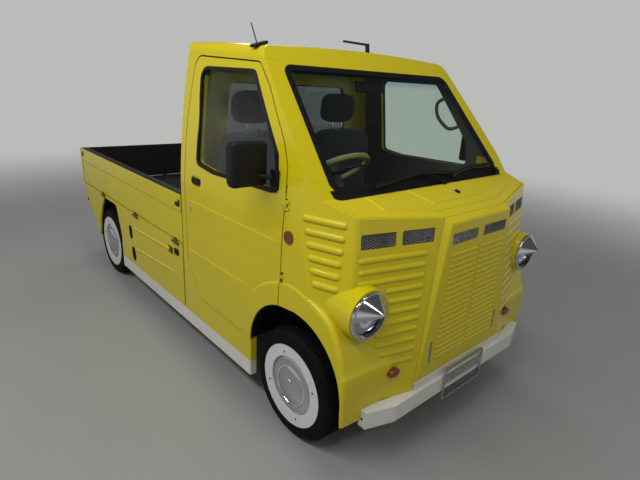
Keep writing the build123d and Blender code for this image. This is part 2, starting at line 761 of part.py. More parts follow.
# Door with its window cut, the wheel flare across its corner and a handle pocket
handle_at = (427.0, 1058.0)
with BuildPart() as door_flare:
    add(fender.part)
    add(door_prism, mode=Mode.INTERSECT)
    add(cab_inner, mode=Mode.SUBTRACT)
with BuildPart() as door:
    add(cab_shell.part)
    add(door_prism, mode=Mode.INTERSECT)
    add(door_flare.part)
    add(arch_hole, mode=Mode.SUBTRACT)
    add(window_prism, mode=Mode.SUBTRACT)
    with BuildSketch(Plane.XZ.offset(half_width - 8)):
        with Locations(handle_at):
            SlotOverall(104, 54)
    extrude(amount=30, mode=Mode.SUBTRACT)

# Door hinges: pins on the nose side, barrels on the door, in the seam
door_barrels = []
hinge_notch = hinge_ear_radius + 5.0
with BuildPart() as hinge_cut:
    for z in door_hinge_heights:
        half = 1.5 * hinge_ear_height + 5
        add(rod((door_hinge_x, -hinge_y, z - half), (door_hinge_x, -hinge_y, z + half), hinge_notch))
        add(block((door_hinge_x - 30, door_hinge_x), (-hinge_y - hinge_notch, -hinge_y + hinge_notch),
                  (z - half, z + half)))
with BuildPart() as door_hinged:
    add(door.part)
    for z in door_hinge_heights:
        add(block((door_hinge_x - 30, door_hinge_x), (-hinge_y - 2, -hinge_y + hinge_ear_radius),
                  (z - hinge_ear_height / 2, z + hinge_ear_height / 2)))
        add(rod((door_hinge_x, -hinge_y, z - hinge_ear_height / 2),
                (door_hinge_x, -hinge_y, z + hinge_ear_height / 2), hinge_ear_radius))
        add(rod((door_hinge_x, -hinge_y, z - hinge_ear_height),
                (door_hinge_x, -hinge_y, z + hinge_ear_height), hinge_pin_radius + pin_clearance),
            mode=Mode.SUBTRACT)
each_side(door_hinged.part, "door")

with BuildPart() as nose_hinged:
    add(nose_side.part)
    add(hinge_cut.part, mode=Mode.SUBTRACT)
    for z in door_hinge_heights:
        for end in (-1, 1):
            low, high = sorted((z + end * (hinge_ear_height / 2 + 0.5), z + end * 1.5 * hinge_ear_height))
            add(block((door_hinge_x, door_hinge_x + 20), (-hinge_y - 2, -hinge_y + hinge_ear_radius),
                      (low, high)))
            add(rod((door_hinge_x, -hinge_y, low), (door_hinge_x, -hinge_y, high), hinge_ear_radius))
        add(rod((door_hinge_x, -hinge_y, z - hinge_ear_height),
                (door_hinge_x, -hinge_y, z + hinge_ear_height), hinge_pin_radius))
both_sides(nose_hinged.part, "nose_sides")

with BuildPart() as door_glass:
    add(side_layer(14.0, 18.0))
    add(window_prism, mode=Mode.INTERSECT)
each_side(door_glass.part, "door_glass")

# Mirror on its foot at the door's front corner, and the handle's grip
mirror_at = (1057.0, -848.0, 1260.0)
mirror_size = (52.0, 122.0, 178.0)
with BuildPart() as door_fittings:
    with Locations(mirror_at):
        Box(*mirror_size)
    fillet(door_fittings.edges().filter_by(Axis.X), 24.0)
    fillet(door_fittings.edges().group_by(Axis.X)[-1], 16.0)
    add(rod((1112.0, -730.0, 1205.0), (1066.0, -800.0, 1216.0), 11.0))
    add(block((1098.0, 1136.0), (-744.0, -700.0), (1160.0, 1240.0)))
    add(door_hinged.part, mode=Mode.SUBTRACT)
    add(door_glass.part, mode=Mode.SUBTRACT)
    add(block((900.0, 1200.0), (-half_width + 12, -600.0), (1000.0, 1400.0)), mode=Mode.SUBTRACT)
    with BuildSketch(Plane.XZ.offset(half_width - 8)):
        with Locations(handle_at):
            SlotOverall(96, 34)
    extrude(amount=8)
each_side(door_fittings.part, "door_fittings")

# Frame of the front number plate, with the plate's two screw holes
with BuildPart() as plate_frame:
    with BuildSketch(Plane.YZ.offset(bumper_front_x)):
        with Locations((0, plate_z)):
            RectangleRounded(plate_width, plate_height, 10)
            RectangleRounded(plate_width - 24, plate_height - 24, 6, mode=Mode.SUBTRACT)
        with Locations((0, plate_screw_z)):
            Rectangle(plate_width - 20, 42)
        with Locations((-plate_screw_pitch / 2, plate_screw_z), (plate_screw_pitch / 2, plate_screw_z)):
            Circle(plate_screw_radius, mode=Mode.SUBTRACT)
    extrude(amount=plate_frame_depth)
finish_piece(plate_frame.part, "plate_frame")

visor_tip = (1678.0, -headlamp_y, 790.0)
visor_sheet = 5.0


def visor_cone(radius, back):
    """A slanting cone from a circle on the lamp's ring to the visor's tip, moved back."""
    with BuildSketch(Plane.YZ.offset(headlamp_front_x)) as base:
        with Locations((-headlamp_y, headlamp_z)):
            Circle(radius)
    return loft([base.sketch.faces()[0], Vertex(visor_tip[0] - back, visor_tip[1], visor_tip[2] - back / 2)])


# Upper half of a hollow cone that comes to a peak in front of the lamp
with BuildPart() as visor:
    add(visor_cone(headlamp_radius - 2, 0))
    add(visor_cone(headlamp_radius - 2 - visor_sheet, 2 * visor_sheet), mode=Mode.SUBTRACT)
    with BuildSketch(Plane.XZ.offset(headlamp_y - 200)):
        with BuildLine():
            Polyline((headlamp_front_x, headlamp_z - 4), (visor_tip[0] + 5, visor_tip[2] - 4),
                     (visor_tip[0] + 5, visor_tip[2] + 200), (headlamp_front_x, visor_tip[2] + 200),
                     close=True)
        make_face()
    extrude(amount=400, mode=Mode.INTERSECT)

# Ring on the pod's face, with the reflector's bowl behind it
with BuildPart() as bezel:
    with BuildSketch(Plane.YZ.offset(bezel_back_x)):
        with Locations((-headlamp_y, headlamp_z)):
            Circle(headlamp_radius)
            Circle(lamp_bowl_radius, mode=Mode.SUBTRACT)
    extrude(amount=14)
    fillet(bezel.edges().group_by(Axis.X)[-1].sort_by(SortBy.RADIUS)[-1], 6)
    add(visor.part)
    with BuildSketch(Plane.YZ.offset(bowl_back_x)):
        with Locations((-headlamp_y, headlamp_z)):
            Circle(lamp_bowl_radius)
    extrude(amount=6)
    with BuildSketch(Plane.YZ.offset(bowl_back_x)):
        with Locations((-headlamp_y, headlamp_z)):
            Circle(lamp_bowl_radius)
            Circle(lamp_bowl_radius - lamp_bowl_wall, mode=Mode.SUBTRACT)
    extrude(amount=lamp_bowl_depth + 4)
both_sides(bezel.part, "lamp_bezels")

lens_radius = lamp_bowl_radius - lamp_bowl_wall - 0.3
lens_bulge = 26.0
lens_rim = 4.0
lens_back_x = bezel_back_x - 6
sphere_radius = (lens_radius ** 2 + lens_bulge ** 2) / (2 * lens_bulge)
halfway = asin(lens_radius / sphere_radius) / 2
with BuildPart() as lens:
    # A disc with a domed front, turned about the lamp's axis
    with BuildSketch(Plane.XY.offset(headlamp_z)):
        with BuildLine():
            rim_x = lens_back_x + lens_rim
            Polyline((rim_x + lens_bulge, -headlamp_y), (lens_back_x, -headlamp_y),
                     (lens_back_x, -headlamp_y + lens_radius), (rim_x, -headlamp_y + lens_radius))
            ThreePointArc((rim_x, -headlamp_y + lens_radius),
                          (rim_x + lens_bulge - sphere_radius * (1 - cos(halfway)),
                           -headlamp_y + sphere_radius * sin(halfway)),
                          (rim_x + lens_bulge, -headlamp_y))
        make_face()
    revolve(axis=Axis((lens_back_x, -headlamp_y, headlamp_z), (1, 0, 0)), revolution_arc=360)
both_sides(lens.part, "lamp_lenses")

# Lower nose lamps, side markers and tail lamps
low_lamp = (1600.0, -472.0, 453.0)
marker_at = (1228.5, 984.0)
rear_sill_x = tailgate_outer_x
with BuildPart() as signal:
    with BuildSketch(Plane.YZ.offset(low_lamp[0])):
        with Locations((low_lamp[1], low_lamp[2])):
            Ellipse(32.5, 22.5)
    extrude(amount=45.0)
    fillet(signal.edges().group_by(Axis.X)[-1], 10.0)
    add(cab_outer, mode=Mode.SUBTRACT)
    add(fender.part, mode=Mode.SUBTRACT)
    add(rod((marker_at[0], -half_width, marker_at[1]), (marker_at[0], -half_width - 7, marker_at[1]), 27.5))
    for y in (520.0, 585.0, 650.0):
        add(block((rear_sill_x - 10, rear_sill_x), (-y - 60, -y), (505.0, 585.0)))
both_sides(signal.part, "signal_lamps")

# Ladder frame: two rails that step up over the rear axle, and cross members
step_front_x = -420.0
step_rear_x = -640.0
cross_members = [(1500.0, rail_low_top), (960.0, rail_low_top), (200.0, rail_low_top), (-300.0, rail_low_top),
                 (-750.0, rail_high_top), (-1600.0, rail_high_top)]
with BuildPart() as frame:
    with BuildSketch(Plane.XZ.offset(rail_inner_y)):
        with BuildLine():
            Polyline((1600.0, rail_low_top), (step_front_x, rail_low_top), (step_rear_x, rail_high_top),
                     (gate_rear_x, rail_high_top), (gate_rear_x, rail_high_top - rail_height),
                     (step_rear_x - 20, rail_high_top - rail_height),
                     (step_front_x - 20, rail_low_top - rail_height), (1600.0, rail_low_top - rail_height),
                     close=True)
        make_face()
    extrude(amount=rail_outer_y - rail_inner_y)
    mirror(about=Plane.XZ)
    for x, top in cross_members:
        add(block((x - 28, x + 28), (-rail_inner_y, rail_inner_y), (top - 8 - cross_member_depth, top - 8)))
finish_piece(frame.part, "ladder_frame")

engine_front_x = 860.0
engine_rear_x = 430.0
with BuildPart() as engine:
    add(block((engine_rear_x, engine_front_x), (-230.0, 230.0), (238.0, 640.0)))
    for x in (500.0, 790.0):
        add(block((x - 25, x + 25), (-rail_inner_y, rail_inner_y), (310.0, 345.0)))
finish_piece(engine.part, "engine_block")

with BuildPart() as tank:
    add(block((-230.0, 160.0), (100.0, rail_inner_y), (200.0, rail_low_top - 12)))
    fillet(tank.edges().filter_by(Axis.X), 24.0)
    add(block((-230.0, 160.0), (250.0, rail_inner_y), (300.0, 340.0)))
finish_piece(tank.part, "fuel_tank")

with BuildPart() as exhaust:
    add(rod((engine_rear_x, -190.0, 262.0), (-250.0, -190.0, 262.0), 19.0))
    add(rod((-250.0, -190.0, 232.0), (-640.0, -190.0, 232.0), 52.0))
    add(rod((-640.0, -190.0, 232.0), (-720.0, -190.0, 232.0), 19.0))
    add(block((-320.0, -280.0), (-210.0, -170.0), (250.0, rail_low_top - 8 - cross_member_depth)))
finish_piece(exhaust.part, "exhaust")

# Rear axle with its propeller shaft, leaf springs and their hangers
axle_radius = 34.0
spring_y = (415.0, 465.0)
spring_ends = (-700.0, -1505.0)
spring_end_z = 398.0
with BuildPart() as rear_axle:
    add(rod((rear_axle_x, -600.0, tyre_radius), (rear_axle_x, 600.0, tyre_radius), axle_radius))
    with Locations((rear_axle_x, 0, tyre_radius)):
        Sphere(100.0)
    add(rod((rear_axle_x + 80, 0, tyre_radius), (engine_rear_x, 0, tyre_radius), 22.0))
    for side in (-1, 1):
        add(rod((rear_axle_x, side * 600, tyre_radius), (rear_axle_x, side * (wheel_y + 30), tyre_radius),
                15.0))
        add(rod((rear_axle_x, side * 596, tyre_radius), (rear_axle_x, side * 638, tyre_radius), 105.0))
        with BuildSketch(Plane.XZ.offset(-side * spring_y[0] if side > 0 else spring_y[0])):
            with BuildLine():
                ThreePointArc((spring_ends[0], spring_end_z), (rear_axle_x, tyre_radius + axle_radius - 3),
                              (spring_ends[1], spring_end_z))
                Line((spring_ends[1], spring_end_z), (spring_ends[1], spring_end_z + 22))
                ThreePointArc((spring_ends[1], spring_end_z + 22),
                              (rear_axle_x, tyre_radius + axle_radius + 19),
                              (spring_ends[0], spring_end_z + 22))
                Line((spring_ends[0], spring_end_z + 22), (spring_ends[0], spring_end_z))
            make_face()
        extrude(amount=(spring_y[1] - spring_y[0]) * (-side))
        for x in spring_ends:
            low, high = sorted((side * rail_outer_y, side * spring_y[1]))
            add(block((x - 22, x + 22), (low, high), (spring_end_z - 10, rail_high_top - 20)))
finish_piece(rear_axle.part, "rear_axle")

# Front suspension: cross tube, lower and upper arms, struts and kingpins
arm_low_z = (172.0, 190.0)
arm_high_z = (346.0, 364.0)
strut_y = 490.0
wheelhouse_top_z = 640.0
with BuildPart() as suspension:
    add(block((front_axle_x - 45, front_axle_x + 45), (-rail_outer_y, rail_outer_y),
              (arm_low_z[0], rail_low_top - rail_height)))
    for side in (-1, 1):
        for (low, high), inner in ((arm_low_z, rail_outer_y - 10), (arm_high_z, strut_y)):
            with BuildSketch(Plane.XY.offset(low)):
                with Locations((front_axle_x, side * kingpin_y)):
                    Circle(20.0)
                with Locations((front_axle_x, side * (inner + kingpin_y) / 2)):
                    Rectangle(40.0, kingpin_y - inner)
            extrude(amount=high - low)
        add(rod((front_axle_x, side * strut_y, arm_high_z[0]),
                (front_axle_x, side * strut_y, wheelhouse_top_z), 25.0))
        add(rod((front_axle_x, side * kingpin_y, arm_low_z[0]),
                (front_axle_x, side * kingpin_y, arm_high_z[1]), kingpin_radius))
finish_piece(suspension.part, "front_suspension")

with BuildPart() as knuckle:
    add(rod((front_axle_x, -kingpin_y, arm_low_z[1] + 1), (front_axle_x, -kingpin_y, arm_high_z[0] - 1),
            26.0))
    add(rod((front_axle_x, -kingpin_y - 30, tyre_radius), (front_axle_x, -wheel_y + 7, tyre_radius), 105.0))
    add(rod((front_axle_x, -kingpin_y, tyre_radius), (front_axle_x, -wheel_y - 30, tyre_radius), 15.0))
    add(rod((front_axle_x, -kingpin_y, arm_low_z[0] - 5), (front_axle_x, -kingpin_y, arm_high_z[1] + 5),
            kingpin_radius + pin_clearance), mode=Mode.SUBTRACT)
each_side(knuckle.part, "knuckle")

# Wheels: half section points are (radius, offset outwards from the wheel's middle)
hub_bore_radius = 15.0 + pin_clearance
hub_half = rim_width / 2
tyre_section = [(rim_radius, -hub_half), (164.0, -62.0), (205.0, -tyre_width / 2), (236.0, -70.0),
                (258.0, -58.0), (tyre_radius, -42.0), (tyre_radius, 42.0), (258.0, 58.0), (236.0, 70.0),
                (222.0, tyre_width / 2), (white_ring_radius, 68.5), (164.0, 62.0), (rim_radius, hub_half)]
rim_section = [(rim_radius, -hub_half), (rim_radius, hub_half), (146.0, hub_half), (146.0, 66.0),
               (white_ring_radius, 68.8), (white_ring_radius, 71.2), (hub_cap_radius, 69.0),
               (hub_cap_radius, 54.0), (118.0, 64.0), (60.0, 72.0), (0.0, 75.0), (0.0, 72.0), (60.0, 69.0),
               (118.0, 61.0), (132.0, 52.0), (132.0, 20.0), (32.0, 20.0), (32.0, 33.0),
               (hub_bore_radius, 33.0), (hub_bore_radius, 0.0), (32.0, 0.0), (32.0, 12.0), (132.0, 12.0),
               (132.0, -hub_half)]


def wheel_part(section, axle_x):
    """Turns a wheel section about the right-hand end of an axle."""
    with BuildPart() as piece:
        with BuildSketch(Plane.YZ.offset(axle_x)):
            with BuildLine():
                Polyline(*[(-wheel_y - offset, tyre_radius + radius) for radius, offset in section],
                         close=True)
            make_face()
        revolve(axis=Axis((axle_x, 0, tyre_radius), (0, 1, 0)), revolution_arc=360)
    return piece.part


for place, axle_x in (("front", front_axle_x), ("rear", rear_axle_x)):
    each_side(wheel_part(tyre_section, axle_x), "tyre_" + place)
    each_side(wheel_part(rim_section, axle_x), "rim_" + place)

# Cab floor: seat platform over the engine, footwell, firewall and wheelhouses
platform_front_x = 885.0
platform_z = 700.0
floor_top_z = 380.0
firewall_x = 1405.0
floor_half = 697.0
wheelhouse_inner_y = 405.0
wheelhouse_x = (932.0, 1568.0)
with BuildPart() as cab_floor:
    with BuildSketch(Plane.XZ):
        with BuildLine():
            Polyline((cab_rear_x + rear_wall, platform_z), (platform_front_x, platform_z),
                     (platform_front_x, floor_top_z), (firewall_x, floor_top_z), (firewall_x, 1100.0),
                     (firewall_x + floor_sheet, 1100.0),
                     (firewall_x + floor_sheet, floor_top_z - floor_sheet),
                     (platform_front_x - floor_sheet, floor_top_z - floor_sheet),
                     (platform_front_x - floor_sheet, platform_z - floor_sheet),
                     (cab_rear_x + rear_wall, platform_z - floor_sheet), close=True)
        make_face()
    extrude(amount=floor_half, both=True)
    add(block((900.0, 950.0), (-side_inner_y, side_inner_y), (floor_top_z - floor_sheet, floor_top_z)))
    add(block((firewall_x - 10, firewall_x + 50), (-900.0, -640.0), (floor_top_z, 1200.0)),
        mode=Mode.SUBTRACT)
    add(block((firewall_x - 10, firewall_x + 50), (640.0, 900.0), (floor_top_z, 1200.0)), mode=Mode.SUBTRACT)
    for side in (-1, 1):
        low, high = sorted((side * (wheelhouse_inner_y - floor_sheet), side * floor_half))
        add(block((wheelhouse_x[0] - floor_sheet, wheelhouse_x[1] + floor_sheet), (low, high),
                  (floor_top_z - floor_sheet, wheelhouse_top_z + floor_sheet)))
    for side in (-1, 1):
        low, high = sorted((side * wheelhouse_inner_y, side * 800.0))
        add(block(wheelhouse_x, (low, high), (0.0, wheelhouse_top_z)), mode=Mode.SUBTRACT)
    add(cab_inner, mode=Mode.INTERSECT)
    add(door_opening, mode=Mode.SUBTRACT)
finish_piece(cab_floor.part, "cab_floor")

# Dashboard with the steering column
wheel_centre = (1050.0, -340.0, 1190.0)
wheel_tilt = 35.0
wheel_rim_radius = 182.0
column_dir = (sin(radians(wheel_tilt)), 0, -cos(radians(wheel_tilt)))


def along_column(distance):
    """A point on the steering column, measured down from the wheel's centre."""
    return tuple(c + d * distance for c, d in zip(wheel_centre, column_dir))


with BuildPart() as dash:
    with BuildSketch(Plane.XZ):
        with BuildLine():
            Polyline((1190.0, 1030.0), (1212.0, 1100.0), (1340.0, 1128.0), (firewall_x, 1112.0),
                     (firewall_x, 880.0), (1250.0, 840.0), close=True)
        make_face()
    extrude(amount=636.0, both=True)
    fillet(dash.edges().filter_by(Axis.Y).sort_by(Axis.X)[0:2], 20.0)
    add(rod(along_column(24), along_column(330), 24.0))
    add(rod(along_column(-12), along_column(40), 9.0))
finish_piece(dash.part, "dashboard")

with BuildPart() as steering_wheel:
    wheel_plane = Plane(origin=wheel_centre, x_dir=(0, 1, 0), z_dir=tuple(-c for c in column_dir))
    with BuildSketch(Plane(origin=wheel_centre, x_dir=tuple(-c for c in column_dir), z_dir=(0, 1, 0))):
        with Locations((0, wheel_rim_radius - 13.0)):
            RegularPolygon(13.0, 8)
    revolve(axis=Axis(wheel_centre, tuple(-c for c in column_dir)), revolution_arc=360)
    with BuildSketch(wheel_plane.offset(-17.0)):
        Circle(52.0)
    extrude(amount=32.0)
    with BuildSketch(wheel_plane.offset(-6.0)):
        for angle in (90.0, 200.0, 340.0):
            with Locations(Location((0, 0, 0), (0, 0, angle))):
                with Locations(((wheel_rim_radius - 13.0) / 2, 0)):
                    Rectangle(wheel_rim_radius - 13.0, 26.0)
    extrude(amount=12.0)
    with BuildSketch(wheel_plane.offset(-20.0)):
        Circle(9.0 + pin_clearance)
    extrude(amount=33.0, mode=Mode.SUBTRACT)
finish_piece(steering_wheel.part, "steering_wheel")

# Seats
with BuildPart() as seat:
    with BuildSketch(Plane.XZ.offset(80.0)):
        with BuildLine():
            Polyline((330.0, platform_z + 0.3), (820.0, platform_z + 0.3), (840.0, 800.0), (800.0, 826.0),
                     (450.0, 806.0), (400.0, 1270.0), (350.0, 1290.0), (300.0, 1270.0), (320.0, 740.0),
                     close=True)
        make_face()
    extrude(amount=500.0)
    fillet(seat.edges().filter_by(Axis.Y), 16.0)
    with Locations((345.0, -330.0, 1405.0)):
        Box(70.0, 250.0, 150.0)
    for y in (-290.0, -370.0):
        add(rod((345.0, y, 1270.0), (345.0, y, 1350.0), 7.0))
both_sides(seat.part, "seats")

# Bed: floor, side sills, cross beams, headboard and rear panel
beam_places = [(150.0, rail_low_top, 690.0), (-280.0, rail_low_top, 690.0), (-740.0, rail_high_top, 690.0),
               (-1102.0, rail_high_top, 500.0), (-1500.0, rail_high_top, 690.0)]
sill_inner_y = 690.0
sill_outer_y = half_width - skirt_thickness
floor_edge_y = 701.0
sill_z = (628.0, 650.0)
with BuildPart() as bed_floor:
    add(block((gate_rear_x + 1, bed_front_x), (-floor_edge_y, floor_edge_y),
              (bed_floor_z - bed_floor_thickness, bed_floor_z)))
    for side in (-1, 1):
        low, high = sorted((side * sill_inner_y, side * sill_outer_y))
        add(block((gate_rear_x, bed_front_x), (low, high), sill_z))
    for x, base, half in beam_places:
        add(block((x - 25, x + 25), (-half, half), (base, bed_floor_z - 5)))
    add(block((bed_front_x - 14, bed_front_x), (-floor_edge_y, floor_edge_y), (600.0, 960.0)))
    add(block((rear_sill_x, gate_rear_x), (-sill_outer_y, sill_outer_y), (490.0, 648.0)))

skirt_x = (gate_rear_x, bed_front_x)
rear_arch_line = [(rear_arch_front_x, 100.0), (rear_arch_front_x + 6, 411.0), (-868.0, 628.0),
                  (-1133.0, 628.0), (-1217.0, 530.0), (-1292.0, 397.0), (-1331.0, 262.0),
                  (gate_rear_x + 10, 592.0), (gate_rear_x - 60, 592.0), (gate_rear_x - 60, 100.0)]
skirt_slots = [((-597.5, 492.0), (84.0, 38.0), 95.0), ((-563.0, 336.0), (86.0, 44.0), 100.0)]
skirt_beads = [((-519.0, 537.0), (31.0, 563.0)), ((-499.0, 388.0), (105.0, 432.0))]
filler_at = (64.0, 561.0)
filler_size = (72.0, 60.0)
with BuildPart() as skirt:
    add(block(skirt_x, (-half_width, -sill_outer_y), (skirt_bottom_z, 650.0)))
    with BuildSketch(Plane.XZ.offset(600.0)) as arch_outline:
        with BuildLine():
            Polyline(*rear_arch_line, close=True)
        make_face()
        fillet(arch_outline.vertices().sort_by_distance((-868.0, 628.0, 0))[0], 50.0)
        fillet(arch_outline.vertices().sort_by_distance((-1133.0, 628.0, 0))[0], 40.0)
    extrude(amount=200.0, mode=Mode.SUBTRACT)
    with BuildSketch(Plane.XZ.offset(half_width - 50)):
        for (x, z), (length, width), angle in skirt_slots:
            with Locations(Location((x, z, 0), (0, 0, angle))):
                SlotOverall(length, width)
        with Locations(filler_at):
            RectangleRounded(*filler_size, 8.0)
    extrude(amount=100.0, mode=Mode.SUBTRACT)
    for (start_x, start_z), (end_x, end_z) in skirt_beads:
        add(bead(vec((start_x, -half_width, start_z)), vec((end_x, -half_width, end_z)), Vector(0, -1, 0),
                 24.0, 5.0))

# Gate hinges: pins on feet at the skirt's top, barrels on the gate
gate_hinge_y = half_width + gate_hinge_outset
gate_hinge_axis_z = 642.0
gate_hinge_xs = (-1136.0, -474.0, 156.0)
barrel_radius = 7.0
barrel_half = 18.0
foot_length = 24.0
gate_pin_radius = 3.5
strap_lap = 14.0
with BuildPart() as skirt_hinged:
    add(skirt.part)
    for x in gate_hinge_xs:
        for end in (-1, 1):
            low, high = sorted((x + end * (barrel_half + 0.5), x + end * (barrel_half + foot_length)))
            add(block((low, high), (-gate_hinge_y, -half_width + 4),
                      (gate_hinge_axis_z - 6, gate_hinge_axis_z + 6)))
            add(rod((low, -gate_hinge_y, gate_hinge_axis_z), (high, -gate_hinge_y, gate_hinge_axis_z),
                    barrel_radius))
        add(rod((x - barrel_half - 5, -gate_hinge_y, gate_hinge_axis_z),
                (x + barrel_half + 5, -gate_hinge_y, gate_hinge_axis_z), gate_pin_radius))
both_sides(skirt_hinged.part, "bed_skirts")

# A gate's section: the upper band stands out from the panel below it. Depths are from the outer face
band_low_z = 841.0
band_step = 4.0
gate_section = [(0.0, gate_top_z), (0.0, band_low_z + 5), (band_step, band_low_z - 5),
                (band_step, gate_bottom_z), (gate_thickness, gate_bottom_z), (gate_thickness, gate_top_z)]

with BuildPart() as gate:
    with BuildSketch(Plane.YZ.offset(gate_rear_x)):
        with BuildLine():
            Polyline(*[(depth - half_width, z) for depth, z in gate_section], close=True)
        make_face()
    extrude(amount=bed_front_x - gate_rear_x)
    for x in gate_hinge_xs:
        add(block((x - barrel_half, x + barrel_half), (-gate_hinge_y, -gate_hinge_y + barrel_radius),
                  (gate_hinge_axis_z, gate_bottom_z + strap_lap)))
        add(block((x - barrel_half, x + barrel_half), (-gate_hinge_y, -half_width + 6),
                  (gate_bottom_z, gate_bottom_z + strap_lap)))
        add(rod((x - barrel_half, -gate_hinge_y, gate_hinge_axis_z),
                (x + barrel_half, -gate_hinge_y, gate_hinge_axis_z), barrel_radius))
        add(rod((x - 40, -gate_hinge_y, gate_hinge_axis_z), (x + 40, -gate_hinge_y, gate_hinge_axis_z),
                gate_pin_radius + pin_clearance), mode=Mode.SUBTRACT)
each_side(gate.part, "gate")

tail_hinge_x = tailgate_outer_x - gate_hinge_outset
tail_hinge_ys = (-520.0, 0.0, 520.0)
with BuildPart() as tailgate:
    with BuildSketch(Plane.XZ):
        with BuildLine():
            Polyline(*[(tailgate_outer_x + depth, z) for depth, z in gate_section], close=True)
        make_face()
    extrude(amount=half_width, both=True)
    for y in tail_hinge_ys:
        add(block((tail_hinge_x, tail_hinge_x + barrel_radius), (y - barrel_half, y + barrel_half),
                  (gate_hinge_axis_z, gate_bottom_z + strap_lap)))
        add(block((tail_hinge_x, tailgate_outer_x + 6), (y - barrel_half, y + barrel_half),
                  (gate_bottom_z, gate_bottom_z + strap_lap)))
        add(rod((tail_hinge_x, y - barrel_half, gate_hinge_axis_z),
                (tail_hinge_x, y + barrel_half, gate_hinge_axis_z), barrel_radius))
        add(rod((tail_hinge_x, y - 40, gate_hinge_axis_z), (tail_hinge_x, y + 40, gate_hinge_axis_z),
                gate_pin_radius + pin_clearance), mode=Mode.SUBTRACT)
finish_piece(tailgate.part, "tailgate")

with BuildPart() as bed_hinged:
    add(bed_floor.part)
    for y in tail_hinge_ys:
        for end in (-1, 1):
            low, high = sorted((y + end * (barrel_half + 0.5), y + end * (barrel_half + foot_length)))
            add(block((tail_hinge_x, rear_sill_x + 4), (low, high),
                      (gate_hinge_axis_z - 6, gate_hinge_axis_z + 6)))
            add(rod((tail_hinge_x, low, gate_hinge_axis_z), (tail_hinge_x, high, gate_hinge_axis_z),
                    barrel_radius))
        add(rod((tail_hinge_x, y - barrel_half - 5, gate_hinge_axis_z),
                (tail_hinge_x, y + barrel_half + 5, gate_hinge_axis_z), gate_pin_radius))
finish_piece(bed_hinged.part, "bed_floor")

# White strips below the sills
with BuildPart() as strip:
    add(block((rear_arch_front_x + 4, front_arch_rear_x), (-half_width, -side_inner_y),
              (strip_bottom_z, cab_bottom_z)))
both_sides(strip.part, "sill_strips")

with BuildPart() as rear_bumper:
    add(block((rear_end, rear_end + 36), (-560.0, 560.0), (275.0, 330.0)))
    for side in (-1, 1):
        low, high = sorted((side * rail_inner_y, side * rail_outer_y))
        add(block((rear_end + 20, gate_rear_x), (low, high), (285.0, 480.0)))
finish_piece(rear_bumper.part, "rear_bumper")

# Roof aerials: a short rod at the right edge and a folded arm near the front
with BuildPart() as aerials:
    add(rod((830.0, -620.0, 1690.0), (760.0, -620.0, 1815.0), 2.5))
    add(rod((830.0, -620.0, 1690.0), (827.0, -620.0, 1722.0), 20.0))
    add(rod((850.0, 35.0, 1730.0), (842.0, 35.0, 1785.0), 11.0))
    add(rod((846.0, 35.0, 1780.0), (680.0, 20.0, 1800.0), 6.0))
    add(cab_outer, mode=Mode.SUBTRACT)
finish_piece(aerials.part, "roof_aerials")
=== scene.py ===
from functools import cached_property
from math import acos, atan2, cos, hypot, pi, radians, sin, tan, tau

import bmesh
import bpy
from bpy.props import FloatProperty, FloatVectorProperty, IntProperty, PointerProperty
from mathutils import Matrix, Vector
from mathutils.bvhtree import BVHTree


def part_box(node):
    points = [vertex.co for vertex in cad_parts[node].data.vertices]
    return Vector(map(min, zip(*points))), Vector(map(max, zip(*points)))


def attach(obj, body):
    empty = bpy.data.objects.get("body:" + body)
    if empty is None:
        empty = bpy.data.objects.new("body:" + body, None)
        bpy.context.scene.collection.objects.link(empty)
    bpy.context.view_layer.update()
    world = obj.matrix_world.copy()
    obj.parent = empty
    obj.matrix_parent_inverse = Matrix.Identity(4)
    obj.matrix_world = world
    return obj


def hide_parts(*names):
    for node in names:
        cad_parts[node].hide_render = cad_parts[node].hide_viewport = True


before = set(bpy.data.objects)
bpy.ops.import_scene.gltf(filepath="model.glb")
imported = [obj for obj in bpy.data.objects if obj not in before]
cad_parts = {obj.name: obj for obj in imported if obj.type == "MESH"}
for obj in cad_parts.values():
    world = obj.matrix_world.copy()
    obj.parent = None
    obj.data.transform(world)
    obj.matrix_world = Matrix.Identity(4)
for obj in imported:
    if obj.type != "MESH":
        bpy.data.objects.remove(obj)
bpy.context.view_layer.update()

bl_info = {
    "name": "Kei Truck Dressing",
    "version": (1, 1, 0),
    "blender": (4, 5, 0),
    "location": "View3D > Sidebar > Truck",
    "description": "Paints the kei truck and adds its tyres, wheel caps, mesh, wipers, seats and small trims",
    "category": "Object",
}

# The right-hand side of the truck is its -Y side
SIDES = {"right": -1, "left": 1}


def middle(node):
    """Middle of a CAD node's box."""
    low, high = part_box(node)
    return (Vector(low) + Vector(high)) / 2


WHEELS = {(place, side): middle("tyre_" + place + "_" + side)
          for place in ("front", "rear") for side in SIDES}
TYRE_RADIUS = WHEELS["front", "right"].z
# How far the gates' hinges stand out past the flat of the bed's side
HINGE_PROUD = 0.016
SIDE_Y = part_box("bed_skirts")[1][1] - HINGE_PROUD
REAR_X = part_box("bed_skirts")[0][0]


def at_side(sign, x, z, proud=0.0):
    """A point at or over the flat of the truck's side."""
    return Vector((x, sign * (SIDE_Y + proud), z))


# Settings

def colour_property(name, description, default):
    """A colour that a user may change."""
    return FloatVectorProperty(name=name, description=description, subtype="COLOR", size=3, min=0, max=1,
                               default=default)


def length_property(name, description, default, least=0.0):
    """A length in metres that a user may change."""
    return FloatProperty(name=name, description=description, subtype="DISTANCE", min=least,
                         default=default)


def angle_property(name, description, degrees):
    """An angle that a user may change."""
    return FloatProperty(name=name, description=description, subtype="ANGLE", default=radians(degrees))


